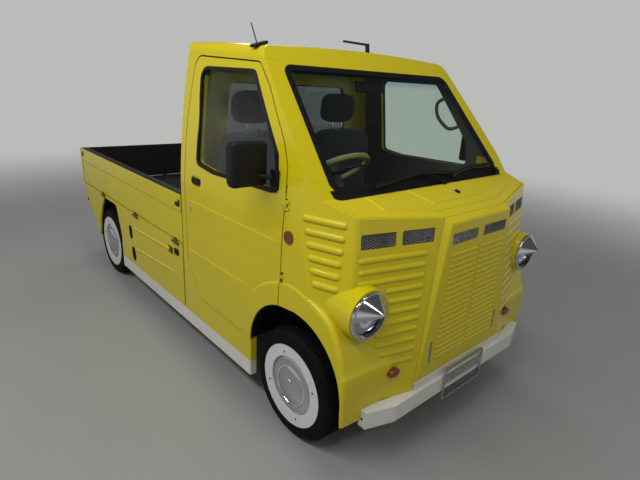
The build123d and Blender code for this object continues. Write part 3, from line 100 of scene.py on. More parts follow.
class TruckPaintSettings(bpy.types.PropertyGroup):
    """Colours of the truck's finishes."""
    yellow: colour_property("Body yellow", "Colour of the body panels", (0.58, 0.475, 0.004))
    white: colour_property("Trim white", "Colour of the bumper and the sill strips", (0.66, 0.65, 0.58))
    black: colour_property("Bed black", "Colour of the bed's lining", (0.008, 0.008, 0.009))
    trim: colour_property("Cab lining", "Colour of the cab's inside trim", (0.085, 0.085, 0.075))
    orange_peel: length_property("Orange peel", "Depth of the ripple in the paint", 0.00005)
    dust: FloatProperty(name="Dust", description="How much dust lies low on the panels", min=0, max=1,
                        default=0.18)


class TruckTyreSettings(bpy.types.PropertyGroup):
    """Tread of the road tyres."""
    groove_depth: length_property("Groove depth", "Depth of the tread grooves", 0.006)
    groove_width: length_property("Groove width", "Width of the rings cut round the tread", 0.006)
    slots_around: IntProperty(name="Slots around", description="Cross slots round the tyre", min=12,
                              default=72)


class TruckCabinSettings(bpy.types.PropertyGroup):
    """Soft parts and fittings of the cabin."""
    cloth: colour_property("Seat cloth", "Colour of the seats", (0.030, 0.031, 0.034))
    weave: length_property("Weave", "Spacing of the threads", 0.0025, 0.0002)


class TruckTrimSettings(bpy.types.PropertyGroup):
    """Small trims of the body."""
    seal_width: length_property("Seal width", "Width of the rubber round the door windows", 0.019, 0.004)
    mesh_width: length_property("Mesh width", "Width of a diamond of the nose mesh", 0.0190, 0.004)
    mesh_height: length_property("Mesh height", "Height of a diamond of the nose mesh", 0.0104, 0.004)


class TruckStageSettings(bpy.types.PropertyGroup):
    """Camera, floor and lamps."""
    camera_place: FloatVectorProperty(name="Camera place", description="Where the camera stands",
                                      subtype="TRANSLATION", size=3, default=(2.6252, -1.8423, 1.5937))
    azimuth: angle_property("Azimuth", "Compass angle of the view, from +X towards +Y", 137.5753)
    elevation: angle_property("Elevation", "Angle of the view above the horizon", -19.0412)
    roll: angle_property("Roll", "Turn of the camera about its view", 3.4247)
    lens: FloatProperty(name="Lens", description="Focal length on a 36 mm sensor", default=25.953)
    floor: colour_property("Floor", "Colour of the floor", (0.29, 0.29, 0.275))
    backdrop: colour_property("Backdrop", "Colour far behind the truck", (0.50, 0.50, 0.485))
    sky: FloatProperty(name="Room light", description="Strength of the light from all round", min=0,
                       default=0.34)
    key: FloatProperty(name="Key lamp", description="Power of the lamp over the right-hand side",
                       subtype="POWER", min=0, default=105.0)


# Node kit

class Nodes:
    """A node tree, with a short name for each step that the finishes are made of."""

    def __init__(self, tree):
        self.tree = tree
        self.coordinates = self.add("TexCoord").outputs
        self.where = self.coordinates["Object"]

    @cached_property
    def place(self):
        """X, Y and Z of the object coordinates."""
        return self.parted(self.where)

    def feed(self, socket, value):
        """Gives a socket a link, a colour or a number."""
        if isinstance(value, bpy.types.NodeSocket):
            self.tree.links.new(value, socket)
        elif hasattr(value, "__len__") and len(socket.default_value) == 4:
            socket.default_value = (*tuple(value)[:3], 1.0)
        else:
            socket.default_value = value

    def add(self, kind, feeds=(), **settings):
        """A new node with its settings, and its inputs fed by name or number."""
        made = self.tree.nodes.new("ShaderNode" + kind)
        for name, value in settings.items():
            setattr(made, name, value)
        for socket, value in dict(feeds).items():
            self.feed(made.inputs[socket], value)
        return made

    def noise(self, scale, detail=3.0, roughness=0.5, where=None):
        """Cloudy grey noise."""
        return self.add("TexNoise", {"Vector": where or self.where, "Scale": scale, "Detail": detail,
                                     "Roughness": roughness}).outputs["Fac"]

    def stretched(self, scale):
        """The object coordinates scaled along each axis, for streaks."""
        return self.add("Mapping", {"Vector": self.where, "Scale": scale}).outputs["Vector"]

    def span(self, value, low, high, start=0.0, end=1.0, **settings):
        """Maps low to high onto start to end, clamped."""
        return self.add("MapRange", {"Value": value, "From Min": low, "From Max": high, "To Min": start,
                                     "To Max": end}, **settings).outputs["Result"]

    def sums(self, operation, a, b=0.0):
        """One arithmetic step."""
        return self.add("Math", {0: a, 1: b}, operation=operation).outputs[0]

    def times(self, a, b):
        """a times b."""
        return self.sums("MULTIPLY", a, b)

    def above(self, a, b):
        """1 where a is above b."""
        return self.sums("GREATER_THAN", a, b)

    def below(self, a, b):
        """1 where a is below b."""
        return self.sums("LESS_THAN", a, b)

    def size(self, a):
        """a without its sign."""
        return self.sums("ABSOLUTE", a)

    def blended(self, factor, a, b):
        """Two colours mixed by a factor."""
        return self.add("Mix", {0: factor, 6: a, 7: b}, data_type="RGBA").outputs[2]

    def parted(self, vector):
        """The X, Y and Z of a vector."""
        return self.add("SeparateXYZ", {0: vector}).outputs

    def far_from(self, point):
        """Distance of the object coordinates from a point."""
        return self.add("VectorMath", {0: self.where, 1: point}, operation="DISTANCE").outputs["Value"]

    def faded(self, factor, a, b, output):
        """Two shaders mixed by a factor into an output node."""
        mixer = self.add("MixShader", {0: factor, 1: a.outputs[0], 2: b.outputs[0]})
        self.feed(output.inputs["Surface"], mixer.outputs[0])


class Look(Nodes):
    """A new material with one surface shader."""

    def __init__(self, name, roughness):
        self.material = bpy.data.materials.new(name)
        self.material.use_nodes = True
        super().__init__(self.material.node_tree)
        self.surface = self.tree.nodes["Principled BSDF"]
        self.give(Roughness=roughness)

    def give(self, **values):
        """Feeds the surface's inputs. Their names are written with underscores for spaces."""
        for name, value in values.items():
            self.feed(self.surface.inputs[name.replace("_", " ")], value)

    def bumped(self, height, depth, strength=1.0, edges=False):
        """Raises the surface by a height map of the given depth in metres, and rounds its sharp edges when
        edges is set.
        """
        feeds = {"Strength": strength, "Distance": depth, "Height": height}
        if edges:
            feeds["Normal"] = self.add("Bevel", {"Radius": EDGE_ROUNDING}, samples=4).outputs["Normal"]
        self.give(Normal=self.add("Bump", feeds).outputs["Normal"])


def shade(colour, factor, lift=0.0):
    """A colour made lighter or darker."""
    return tuple(c * factor + lift for c in colour)


# Finishes

EDGE_ROUNDING = 0.002
DUST = (0.30, 0.27, 0.20)
DUST_HEIGHTS = (0.2, 0.75)
RUST = (0.13, 0.055, 0.02)
DIRT = (0.075, 0.065, 0.052)
# Worn, greasy paint of the gates' hinges, and what shows where the gates are scraped
HINGE_GREASE = (0.075, 0.060, 0.018)
SCRAPED = (0.10, 0.075, 0.03)
# Places along the gates' top where the paint is scraped, in x and z, with their reach
SCRAPES = ((-0.464, 0.905, 0.17), (-0.070, 0.895, 0.13), (-0.90, 0.915, 0.10))
GATE_GRIME = (0.014, 0.014, 0.013)
GATE_LIP = 0.006
# Height of the bed's floor, where its black lining starts
LINING_Z = 0.652
LINING_DUST = (0.013, 0.0125, 0.012)
LINING_SCRATCH = (0.05, 0.048, 0.045)
# Blue band at the windscreen's top, and painted shade: a darker tint on the pane behind the seats
BAND_BLUE = (0.45, 0.66, 0.84)
BACK_PANE_SHADE = (0.36, 0.39, 0.40)
BACK_PANE_X = 0.4
# The tail lamps' blocks, white, amber and red, and how far out the last two start
TAIL_COLOURS = ((0.55, 0.55, 0.53), (0.50, 0.13, 0.01), (0.30, 0.008, 0.006))
TAIL_WHITE_Y = 0.582
TAIL_AMBER_Y = 0.647
MARKER_COLOURS = ((0.10, 0.008, 0.002), (0.24, 0.030, 0.005))
SPOKE_BLACK = (0.012, 0.012, 0.012)
GRIP_TANS = ((0.26, 0.21, 0.075), (0.33, 0.27, 0.11))
GRIP_RADIUS = 0.150
RUBBER_BLACKS = ((0.003, 0.003, 0.0033), (0.009, 0.009, 0.008))


def paint_colour(look, colour, dust):
    """A painted colour with faint cloudiness and road dust low down."""
    pale = tuple(min(1.0, c) for c in shade(colour, 1.05, 0.003))
    clouds = look.blended(look.noise(2.2, 4.0), shade(colour, 0.93), pale)
    drop = look.span(look.place[2], *DUST_HEIGHTS, dust, 0.0)
    return look.blended(look.times(drop, look.span(look.noise(9.0, 6.0, 0.65), 0.35, 0.75)), clouds, DUST)


def hinge_places(look):
    """1 on the side gates' hinge barrels, which stand out past the flat of the bed's side."""
    proud = look.above(look.size(look.place[1]), SIDE_Y + 0.0022)
    near = look.below(look.size(look.sums("SUBTRACT", look.place[2], 0.642)), 0.030)
    return look.times(look.times(proud, near), look.below(look.place[0], 0.25))


def inside_cab(look):
    """1 on faces that look into the cab: towards its middle plane, or down from the roof."""
    normal = look.parted(look.coordinates["Normal"])
    inward = look.below(look.times(look.place[1], normal[1]), -0.12)
    return look.sums("MAXIMUM", inward,
                     look.times(look.below(normal[2], -0.35), look.above(look.place[2], 1.5)))


def body_paint(name, colour, settings, lining=None):
    """Gloss paint of the panels, with an optional lining colour on the faces that look into the cab."""
    look = Look(name, 0.38)
    outside = look.blended(hinge_places(look), paint_colour(look, colour, settings.dust), HINGE_GREASE)
    if lining:
        inside = inside_cab(look)
        outside = look.blended(inside, outside, lining)
        look.give(Roughness=look.span(inside, 0.0, 1.0, 0.38, 0.75))
    look.give(Base_Color=outside, Specular_IOR_Level=0.12, Coat_Weight=0.60, Coat_Roughness=0.05)
    look.bumped(look.noise(420.0, 2.0), settings.orange_peel, 1.0, True)
    return look.material


def gate_paint(name, settings, axis, edge):
    """Yellow outside, black inside: black starts a lip's width in from the outer face at edge along axis."""
    look = Look(name, 0.40)
    across = look.place[axis]
    inside = look.below(across, edge - GATE_LIP) if edge > 0 else look.above(across, edge + GATE_LIP)
    mask = look.times(inside, look.above(look.place[2], LINING_Z))
    if axis == 0:
        mask = look.times(mask, look.below(look.size(look.place[1]), SIDE_Y - GATE_LIP))
    yellow = paint_colour(look, settings.yellow, settings.dust)
    if axis == 1:
        yellow = look.blended(hinge_places(look), yellow, HINGE_GREASE)
        streaks = look.span(look.noise(14.0, 5.0, 0.7, look.stretched((9.0, 1.0, 1.6))), 0.56, 0.68)
        top = look.span(look.place[2], 0.862, 0.880)
        for x, z, reach in SCRAPES:
            near = look.span(look.far_from((x, edge, z)), reach, reach * 0.4)
            spots = look.times(look.times(streaks, near), top)
            yellow = look.blended(look.times(spots, 0.75), yellow, SCRAPED)
    grime = look.blended(look.noise(14.0, 6.0, 0.7), settings.black, GATE_GRIME)
    look.give(Base_Color=look.blended(mask, yellow, grime), Specular_IOR_Level=0.15, Coat_Roughness=0.08)
    look.give(Roughness=look.span(mask, 0.0, 1.0, 0.40, 0.62),
              Coat_Weight=look.span(mask, 0.0, 1.0, 0.5, 0.0))
    look.bumped(look.noise(420.0, 2.0), settings.orange_peel, 1.0, True)
    return look.material


def satin_black(name, colour, roughness, grain=0.0002):
    """Moulded plastic or satin paint with a fine grain."""
    look = Look(name, roughness)
    cloud = look.noise(22.0, 5.0, 0.6)
    lighter = look.blended(look.span(cloud, 0.4, 0.75), colour, shade(colour, 1.4, 0.001))
    look.give(Base_Color=lighter, Specular_IOR_Level=0.25,
              Roughness=look.span(cloud, 0.2, 0.8, roughness - 0.08, roughness + 0.1))
    look.bumped(look.noise(900.0, 2.0), grain, 0.8, True)
    return look.material


def polished(name, colour, roughness):
    """Chrome or bright metal, with faint smears."""
    look = Look(name, roughness)
    smear = look.noise(30.0, 6.0, 0.6)
    look.give(Metallic=1.0, Base_Color=look.blended(smear, shade(colour, 0.9), colour),
              Roughness=look.span(smear, 0.35, 0.8, roughness, roughness + 0.10))
    return look.material


def road_metal(name, colour):
    """Bare or painted metal below the truck, with dry dirt and rust."""
    look = Look(name, 0.72)
    brown = look.blended(look.span(look.noise(16.0, 8.0, 0.7), 0.45, 0.7), colour, DIRT)
    rust = look.span(look.noise(38.0, 6.0, 0.6), 0.6, 0.72)
    look.give(Base_Color=look.blended(look.times(rust, 0.6), brown, RUST))
    look.bumped(look.noise(180.0, 4.0), 0.0006)
    return look.material


def pane(name, tint, ripple=0.0, band=None):
    """Thin window glass: tinted see-through with a Fresnel reflection. With a band of two heights, it is blue
    above them, and a pane at the back of the cab is darkened as painted shade."""
    material = bpy.data.materials.new(name)
    material.use_nodes = True
    material.node_tree.nodes.clear()
    nodes = Nodes(material.node_tree)
    if band:
        # Painted shade: the pane at the back of the cab is darkened
        tint = nodes.blended(nodes.below(nodes.place[0], BACK_PANE_X),
                             nodes.blended(nodes.span(nodes.place[2], *band), tint, BAND_BLUE), BACK_PANE_SHADE)
    through = nodes.add("BsdfTransparent", {"Color": tint})
    shine = nodes.add("BsdfGlossy", {"Roughness": 0.0})
    fresnel = nodes.add("Fresnel", {"IOR": 1.45}).outputs[0]
    smear = nodes.span(nodes.noise(5.0, 6.0, 0.6), 0.4, 0.8, 0.0, 0.03)
    facing = nodes.sums("SUBTRACT", 1.0, nodes.add("NewGeometry").outputs["Backfacing"])
    nodes.faded(nodes.times(nodes.sums("ADD", fresnel, smear), facing), through, shine,
                nodes.add("OutputMaterial"))
    if ripple:
        wave = nodes.add("Bump", {"Distance": ripple, "Height": nodes.noise(60.0, 2.0)})
        nodes.feed(shine.inputs["Normal"], wave.outputs["Normal"])
    return material


def lamp_plastic(name):
    """Coloured lens plastic with a moulded ripple, and the colour blocks of the tail lamps."""
    look = Look(name, 0.12)
    white, amber, red = TAIL_COLOURS
    out = look.size(look.place[1])
    blocks = look.blended(look.above(out, TAIL_WHITE_Y), white, amber)
    blocks = look.blended(look.above(out, TAIL_AMBER_Y), blocks, red)
    front = look.blended(look.noise(120.0, 2.0), *MARKER_COLOURS)
    look.give(Base_Color=look.blended(look.below(look.place[0], -1.0), front, blocks), Coat_Weight=0.8,
              Coat_Roughness=0.03)
    wave = look.add("TexWave", {"Vector": look.where, "Scale": 70.0}, wave_type="RINGS")
    look.bumped(wave.outputs["Fac"], 0.0004, 0.5)
    return look.material


def tyre_rubber(name):
    """Black rubber with patchy dust."""
    look = Look(name, 0.72)
    dust = look.span(look.noise(24.0, 7.0, 0.7), 0.45, 0.8, 0.0, 0.6)
    look.give(Base_Color=look.blended(dust, *RUBBER_BLACKS), Specular_IOR_Level=0.12)
    look.bumped(look.noise(700.0, 2.0), 0.0002)
    return look.material


def seat_cloth(name, settings):
    """Woven cloth: crossed sets of threads, with sheen."""
    look = Look(name, 0.9)
    threads = [look.add("TexWave", {"Vector": look.where, "Scale": 1.0 / (settings.weave * tau)},
                        bands_direction=direction).outputs["Fac"] for direction in "XYZ"]
    weave = look.times(look.times(threads[0], threads[1]), threads[2])
    base = look.blended(look.noise(6.0, 5.0), settings.cloth, shade(settings.cloth, 1.7))
    look.give(Base_Color=look.blended(weave, base, shade(settings.cloth, 2.2)), Sheen_Weight=0.3)
    look.bumped(weave, 0.0004)
    return look.material


def bed_lining(name, settings):
    """Black lining of the bed, with grain, scuffs and dust, and body yellow on its rear panel."""
    look = Look(name, 0.66)
    scratches = look.span(look.noise(6.0, 6.0, 0.7, look.stretched((3.0, 60.0, 3.0))), 0.62, 0.7)
    dust = look.span(look.noise(5.0, 7.0, 0.65), 0.4, 0.8, 0.0, 0.7)
    dusted = look.blended(dust, shade(settings.black, 0.7), LINING_DUST)
    lining = look.blended(look.times(scratches, 0.35), dusted, LINING_SCRATCH)
    behind = look.times(look.below(look.place[0], REAR_X - 0.004), look.below(look.place[2], LINING_Z))
    yellow = paint_colour(look, settings.yellow, settings.dust)
    look.give(Base_Color=look.blended(behind, lining, yellow), Specular_IOR_Level=0.2,
              Roughness=look.span(behind, 0.0, 1.0, 0.66, 0.38))
    look.bumped(look.noise(300.0, 3.0), 0.0004)
    return look.material


def wheel_grip(name):
    """Steering wheel: a tan grip round dark spokes and hub."""
    look = Look(name, 0.5)
    rim = look.above(look.far_from(middle("steering_wheel")), GRIP_RADIUS)
    look.give(Base_Color=look.blended(rim, SPOKE_BLACK, look.blended(look.noise(60.0, 5.0, 0.6), *GRIP_TANS)))
    look.bumped(look.noise(500.0, 3.0), 0.0003)
    return look.material


# The finishes that have no settings: what makes each, its material's name, and its colour and other sizes
PLAIN_FINISHES = {
    "plastic": (satin_black, "black_plastic", (0.0045, 0.0045, 0.005), 0.5),
    # Painted shade: near-black matt finish for the sheet behind the nose mesh, standing in for the shade of
    # its recess
    "dark_hollow": (satin_black, "dark_hollow", (0.004, 0.004, 0.004), 0.9),
    "cabin": (satin_black, "cabin_plastic", (0.050, 0.055, 0.045), 0.62),
    "rubber_trim": (satin_black, "rubber_trim", (0.005, 0.005, 0.005), 0.5, 0.0001),
    "chassis": (road_metal, "chassis_paint", (0.010, 0.010, 0.011)),
    "rough_metal": (road_metal, "rough_metal", (0.14, 0.14, 0.145)),
    "chrome": (polished, "chrome", (0.66, 0.67, 0.69), 0.05),
    "steel": (polished, "bright_steel", (0.55, 0.56, 0.57), 0.25),
    "lens": (pane, "lamp_glass", (0.93, 0.95, 0.96), 0.0015),
    "window": (pane, "window_glass", (0.88, 0.93, 0.90)),
    "screen": (pane, "screen_glass", (0.90, 0.95, 0.92), 0.0, (1.575, 1.640)),
    "lamps": (lamp_plastic, "lamp_plastic"),
    "wheel_grip": (wheel_grip, "wheel_grip"),
    "rubber": (tyre_rubber, "tyre_rubber"),
}
finishes = {}


# Mesh kit

def new_piece(name, bm, finish, body, smooth=35.0):
    """Turns a bmesh into a piece that rides on a body."""
    bmesh.ops.recalc_face_normals(bm, faces=bm.faces)
    mesh = bpy.data.meshes.new(name)
    bm.to_mesh(mesh)
    bm.free()
    piece = bpy.data.objects.new(name, mesh)
    bpy.context.collection.objects.link(piece)
    mesh.materials.append(finishes[finish])
    mesh.shade_smooth()
    mesh.set_sharp_from_angle(angle=radians(smooth))
    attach(piece, body)
    return piece


def joined(bm, rings, looped=False, ring_closed=True):
    """Faces between neighbouring rings of corners, with both ends capped unless the rings run in a loop."""
    size = len(rings[0])
    for here, there in zip(rings, rings[1:] + rings[:1] if looped else rings[1:]):
        for k in range(size if ring_closed else size - 1):
            n = (k + 1) % size
            bm.faces.new((here[k], here[n], there[n], there[k]))
    if not looped:
        bm.faces.new(rings[0])
        bm.faces.new(rings[-1])


def lathe(bm, section, centre, axis, steps):
    """Turns (radius, distance along the axis) points about an axis through centre."""
    axis = Vector(axis).normalized()
    side = axis.orthogonal().normalized()
    up = axis.cross(side)
    centre = Vector(centre)
    rings = []
    for i in range(steps):
        spoke = side * cos(tau * i / steps) + up * sin(tau * i / steps)
        rings.append([bm.verts.new(centre + spoke * radius + axis * along) for radius, along in section])
    joined(bm, rings, True, False)
    bmesh.ops.remove_doubles(bm, verts=[vert for ring in rings for vert in ring], dist=1e-6)


def bar(bm, path, radius, steps=10, flat=1.0, end_scale=1.0):
    """A closed bar along points, with an oval section and an optional taper."""
    points = [Vector(p) for p in path]
    rings = []
    for i, point in enumerate(points):
        before = points[max(i - 1, 0)]
        after = points[min(i + 1, len(points) - 1)]
        along = (after - before).normalized()
        side = along.cross(Vector((0, 0, 1)))
        if side.length < 0.05:
            side = along.cross(Vector((1, 0, 0)))
        side.normalize()
        up = side.cross(along)
        size = radius * (1 + (end_scale - 1) * i / (len(points) - 1))
        rings.append([bm.verts.new(point + side * cos(tau * k / steps) * size
                                   + up * sin(tau * k / steps) * size * flat) for k in range(steps)])
    joined(bm, rings)


def brick(bm, centre, size, turn=None, bevel=0.0):
    """A box about a centre, with an optional rotation and rounded edges."""
    made = bmesh.ops.create_cube(bm, size=1.0)
    matrix = (turn or Matrix.Identity(3)).to_4x4()
    matrix.translation = Vector(centre)
    matrix = matrix @ Matrix.Diagonal((*size, 1.0))
    bmesh.ops.transform(bm, matrix=matrix, verts=made["verts"])
    if bevel:
        edges = {edge for vert in made["verts"] for edge in vert.link_edges}
        bmesh.ops.bevel(bm, geom=list(edges), offset=bevel, segments=3, affect="EDGES", profile=0.5)


def smooth_path(points, steps):
    """A smooth line through points, with steps pieces between each pair."""
    out = []
    for i in range(len(points) - 1):
        p0, p1 = Vector(points[max(i - 1, 0)]), Vector(points[i])
        p2, p3 = Vector(points[i + 1]), Vector(points[min(i + 2, len(points) - 1)])
        for k in range(steps):
            t = k / steps
            out.append(0.5 * (2 * p1 + (p2 - p0) * t + (2 * p0 - 5 * p1 + 4 * p2 - p3) * t * t
                              + (3 * p1 - p0 - 3 * p2 + p3) * t * t * t))
    out.append(Vector(points[-1]))
    return out


def arc_through(a, b, c, steps):
    """Points of the arc from a over b to c, all flat (u, v) pairs, a left out."""
    ax, ay = b[0] - a[0], b[1] - a[1]
    bx, by = c[0] - a[0], c[1] - a[1]
    twice = 2 * (ax * by - ay * bx)
    u = a[0] + (by * (ax * ax + ay * ay) - ay * (bx * bx + by * by)) / twice
    v = a[1] + (ax * (bx * bx + by * by) - bx * (ax * ax + ay * ay)) / twice
    radius = hypot(a[0] - u, a[1] - v)
    start = atan2(a[1] - v, a[0] - u)
    turn = (atan2(c[1] - v, c[0] - u) - start) % tau
    if (atan2(b[1] - v, b[0] - u) - start) % tau > turn:
        turn -= tau
    return [(u + radius * cos(start + turn * i / steps), v + radius * sin(start + turn * i / steps))
            for i in range(1, steps + 1)]


def rounded(corners, steps=6):
    """A closed outline of (u, v, radius) corners, each turned into an arc."""
    out = []
    count = len(corners)
    for i, (u, v, radius) in enumerate(corners):
        here = Vector((u, v))
        back = (Vector(corners[i - 1][:2]) - here).normalized()
        on = (Vector(corners[(i + 1) % count][:2]) - here).normalized()
        half = acos(max(-1.0, min(1.0, back.dot(on)))) / 2
        reach = radius / tan(half)
        start, end = here + back * reach, here + on * reach
        centre = here + (back + on).normalized() * (radius / sin(half))
        middle_point = centre + (here - centre).normalized() * radius
        out.append(tuple(start))
        out.extend(arc_through(start, middle_point, end, steps))
    return out


def smooth_corners(corners, radii, steps=6):
    """An open line of flat points whose inner corners are turned into arcs where they have a radius."""
    out = [corners[0]]
    for before, here, after, radius in zip(corners, corners[1:], corners[2:], radii[1:]):
        if not radius:
            out.append(here)
            continue
        back = (Vector(before) - Vector(here)).normalized()
        on = (Vector(after) - Vector(here)).normalized()
        reach = radius / tan(acos(max(-1.0, min(1.0, back.dot(on)))) / 2)
        start, end = Vector(here) + back * reach, Vector(here) + on * reach
        for i in range(steps + 1):
            t = i / steps
            out.append(tuple(start * (1 - t) ** 2 + Vector(here) * 2 * t * (1 - t) + end * t * t))
    out.append(corners[-1])
    return out


def stadium(centre, length, width, degrees_up, steps=10):
    """Outline of a slot with round ends, turned up from level."""
    along = Vector((cos(radians(degrees_up)), sin(radians(degrees_up))))
    across = Vector((-along.y, along.x))
    out = []
    for end in (1, -1):
        focus = Vector(centre) + along * end * (length - width) / 2
        for i in range(steps + 1):
            angle = end * pi / 2 - pi * i / steps
            out.append(tuple(focus + (along * cos(angle) + across * sin(angle)) * width / 2))
    return out


def band(bm, outline, section, place, closed=True):
    """Sweeps a closed section of (out, proud) points along a flat outline that place puts in space."""
    points = [Vector(p) for p in outline]
    count = len(points)
    area = sum(points[i - 1].x * points[i].y - points[i].x * points[i - 1].y for i in range(count))
    hand = 1 if area > 0 else -1
    rings = []
    for i, point in enumerate(points):
        before = points[i - 1] if closed or i else point
        after = points[(i + 1) % count] if closed or i < count - 1 else point
        along = (after - before).normalized()
        out = Vector((along.y, -along.x)) * hand
        rings.append([bm.verts.new(place(*(point + out * reach), proud)) for reach, proud in section])
    joined(bm, rings, closed)


def skin(node):
    """Search tree of a CAD node's mesh."""
    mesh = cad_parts[node].data
    return BVHTree.FromPolygons([vert.co.copy() for vert in mesh.vertices],
                                [tuple(face.vertices) for face in mesh.polygons])


def on_side(tree, x, z, sign):
    """Sideways place of a body panel's outer face at x and z, or None where there is none."""
    hit = tree.ray_cast(Vector((x, sign * 2.0, z)), Vector((0, -sign, 0)))[0]
    return None if hit is None or abs(hit.y) < 0.5 else hit.y


def struck(node, start, way):
    """Where a line from start strikes a CAD node, and the normal there."""
    hit, normal, _, _ = skin(node).ray_cast(Vector(start), Vector(way))
    if hit is None:
        raise RuntimeError("No face of " + node + " was found from " + str(start))
    return hit, normal


# Paint of the frame's nodes

WHEEL_WHITE = (0.62, 0.64, 0.61)
# From the bed's rear end to the tailgate's outer face
TAILGATE_REACH = 0.036
NODE_FINISHES = {
    "yellow_lined": ("roof", "side_frames", "door_right", "door_left"),
    "yellow": ("cab_rear_wall", "hood", "nose_sides", "grille_panel", "bed_skirts"),
    "white": ("front_bumper", "sill_strips"),
    "wheel_white": ("rim_front_right", "rim_front_left", "rim_rear_right", "rim_rear_left"),
    "plastic": ("screen_trim", "door_fittings_right", "door_fittings_left", "roof_aerials"),
    # Painted shade: the sheet behind the nose mesh is near-black for the shade in the recess
    "dark_hollow": ("nose_mesh",),
    "cabin": ("cab_floor", "dashboard"),
    "bed": ("bed_floor",),
    "chassis": ("ladder_frame", "front_suspension", "rear_axle", "fuel_tank", "rear_bumper"),
    "rough_metal": ("engine_block", "exhaust", "knuckle_right", "knuckle_left"),
    "chrome": ("lamp_bezels",),
    "steel": ("plate_frame",),
    "lens": ("lamp_lenses",),
    "lamps": ("signal_lamps",),
    "window": ("door_glass_right", "door_glass_left"),
    "screen": ("cab_glass",),
    "wheel_grip": ("steering_wheel",),
    "gate_right": ("gate_right",),
    "gate_left": ("gate_left",),
    "tailgate": ("tailgate",),
    "cloth": ("seats",),
    "rubber": ("tyre_front_right", "tyre_front_left", "tyre_rear_right", "tyre_rear_left"),
}


class TRUCK_OT_paint(bpy.types.Operator):
    """Makes the finishes and gives one to each CAD node"""
    bl_idname = "truck.paint"
    bl_label = "Paint the truck"

    def execute(self, context):
        paint = context.scene.truck_paint
        yellow = tuple(paint.yellow)
        finishes["yellow"] = body_paint("yellow_paint", yellow, paint)
        finishes["yellow_lined"] = body_paint("yellow_paint_lined", yellow, paint, tuple(paint.trim))
        finishes["white"] = body_paint("white_paint", tuple(paint.white), paint)
        finishes["wheel_white"] = body_paint("wheel_paint", WHEEL_WHITE, paint)
        finishes["gate_right"] = gate_paint("gate_paint_right", paint, 1, -SIDE_Y)
        finishes["gate_left"] = gate_paint("gate_paint_left", paint, 1, SIDE_Y)
        finishes["tailgate"] = gate_paint("gate_paint_rear", paint, 0, REAR_X - TAILGATE_REACH)
        finishes["bed"] = bed_lining("bed_lining", paint)
        finishes["cloth"] = seat_cloth("seat_cloth", context.scene.truck_cabin)
        for finish, (make, *values) in PLAIN_FINISHES.items():
            finishes[finish] = make(*values)
        for finish, nodes in NODE_FINISHES.items():
            for node in nodes:
                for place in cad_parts[node].material_slots:
                    place.material = finishes[finish]
        return {"FINISHED"}


# Tyres and wheels

# Radius and offset from the wheel's middle, inwards, from the bead out to the tread
TYRE_LINE = ((0.1524, -0.0508), (0.164, -0.0600), (0.184, -0.0658), (0.1965, -0.0680), (0.1985, -0.0722),
             (0.206, -0.0732), (0.220, -0.0734), (0.236, -0.0728), (0.252, -0.0655), (0.2632, -0.053),
             (0.268, -0.040))
TREAD_HALF = 0.052
TREAD_RINGS = (-0.036, -0.0125, 0.0125, 0.036)
TREAD_START_RADIUS = 0.262
CROWN_HALF = 0.040
CROWN_STEPS = 60
# Cross slots, in shares of their spacing: shift from row to row, lean in a metre across the tyre, and width
# in the shoulder rows and in the middle ones. Their depth is a share of the grooves' depth
SLOT_SHIFT = 0.37
SLOT_LEAN = 9.0
SHOULDER_SLOT = 0.26
MIDDLE_SLOT = 0.16
SLOT_DEPTH = 0.8
STEPS_PER_SLOT = 5


def tyre_section():
    """(radius, offset) points across the tyre."""
    flank = smooth_path([(r, o, 0) for r, o in TYRE_LINE], 5)
    inner = [(p.x, p.y) for p in flank]
    crown = [(TYRE_RADIUS, -CROWN_HALF + 2 * CROWN_HALF * i / CROWN_STEPS) for i in range(1, CROWN_STEPS)]
    outer = [(r, -o) for r, o in reversed(inner)]
    return inner + crown + outer


def tread_depth(offset, angle, settings):
    """Depth of the tread's cuts at a place across and round the tyre."""
    if abs(offset) > TREAD_HALF:
        return 0.0
    if any(abs(offset - ring) < settings.groove_width / 2 for ring in TREAD_RINGS):
        return settings.groove_depth
    row = sum(offset > ring for ring in TREAD_RINGS)
    lean = SLOT_LEAN if row % 2 else -SLOT_LEAN
    turn = (angle / tau * settings.slots_around + row * SLOT_SHIFT + offset * lean) % 1.0
    width = SHOULDER_SLOT if row in (0, len(TREAD_RINGS)) else MIDDLE_SLOT
    return settings.groove_depth * SLOT_DEPTH if turn < width else 0.0


class TRUCK_OT_tyres(bpy.types.Operator):
    """Road tyres with ring grooves and cross slots"""
    bl_idname = "truck.tyres"
    bl_label = "Tyres"

    def execute(self, context):
        settings = context.scene.truck_tyres
        section = tyre_section()
        steps = settings.slots_around * STEPS_PER_SLOT
        for (place, side), centre in WHEELS.items():
            bm = bmesh.new()
            rings = []
            for i in range(steps):
                angle = tau * i / steps
                ring = []
                for radius, offset in section:
                    if radius > TREAD_START_RADIUS:
                        radius -= tread_depth(offset, angle, settings)
                    ring.append(bm.verts.new((centre.x + radius * sin(angle), centre.y + SIDES[side] * offset,
                                              centre.z + radius * cos(angle))))
                rings.append(ring)
            joined(bm, rings, True)
            corner = place + "_" + side
            name = "tyre_" + corner
            tyre = new_piece("road_" + name, bm, "rubber", "wheel_" + corner, 28.0)
            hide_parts(name)
        return {"FINISHED"}


# Radius and offset of the polished cap, from its edge inwards
CAP_LINE = ((0.1388, 0.0548), (0.1388, 0.0590), (0.1372, 0.0625), (0.1310, 0.0668), (0.1210, 0.0702),
            (0.1110, 0.0720), (0.1030, 0.0722), (0.0990, 0.0702), (0.0968, 0.0674), (0.0940, 0.0668),
            (0.0900, 0.0688), (0.0780, 0.0738), (0.0600, 0.0784), (0.0460, 0.0802), (0.0405, 0.0812),
            (0.0375, 0.0842), (0.0300, 0.0864), (0.0150, 0.0871), (0.0, 0.0872))
RING_BOLTS = 4
RING_BOLT_RADIUS = 0.162
RING_BOLT_TURN = radians(-18.0)
RING_BOLT_LINE = ((0.0, 0.0736), (0.0025, 0.0734), (0.0040, 0.0724), (0.0044, 0.0700))


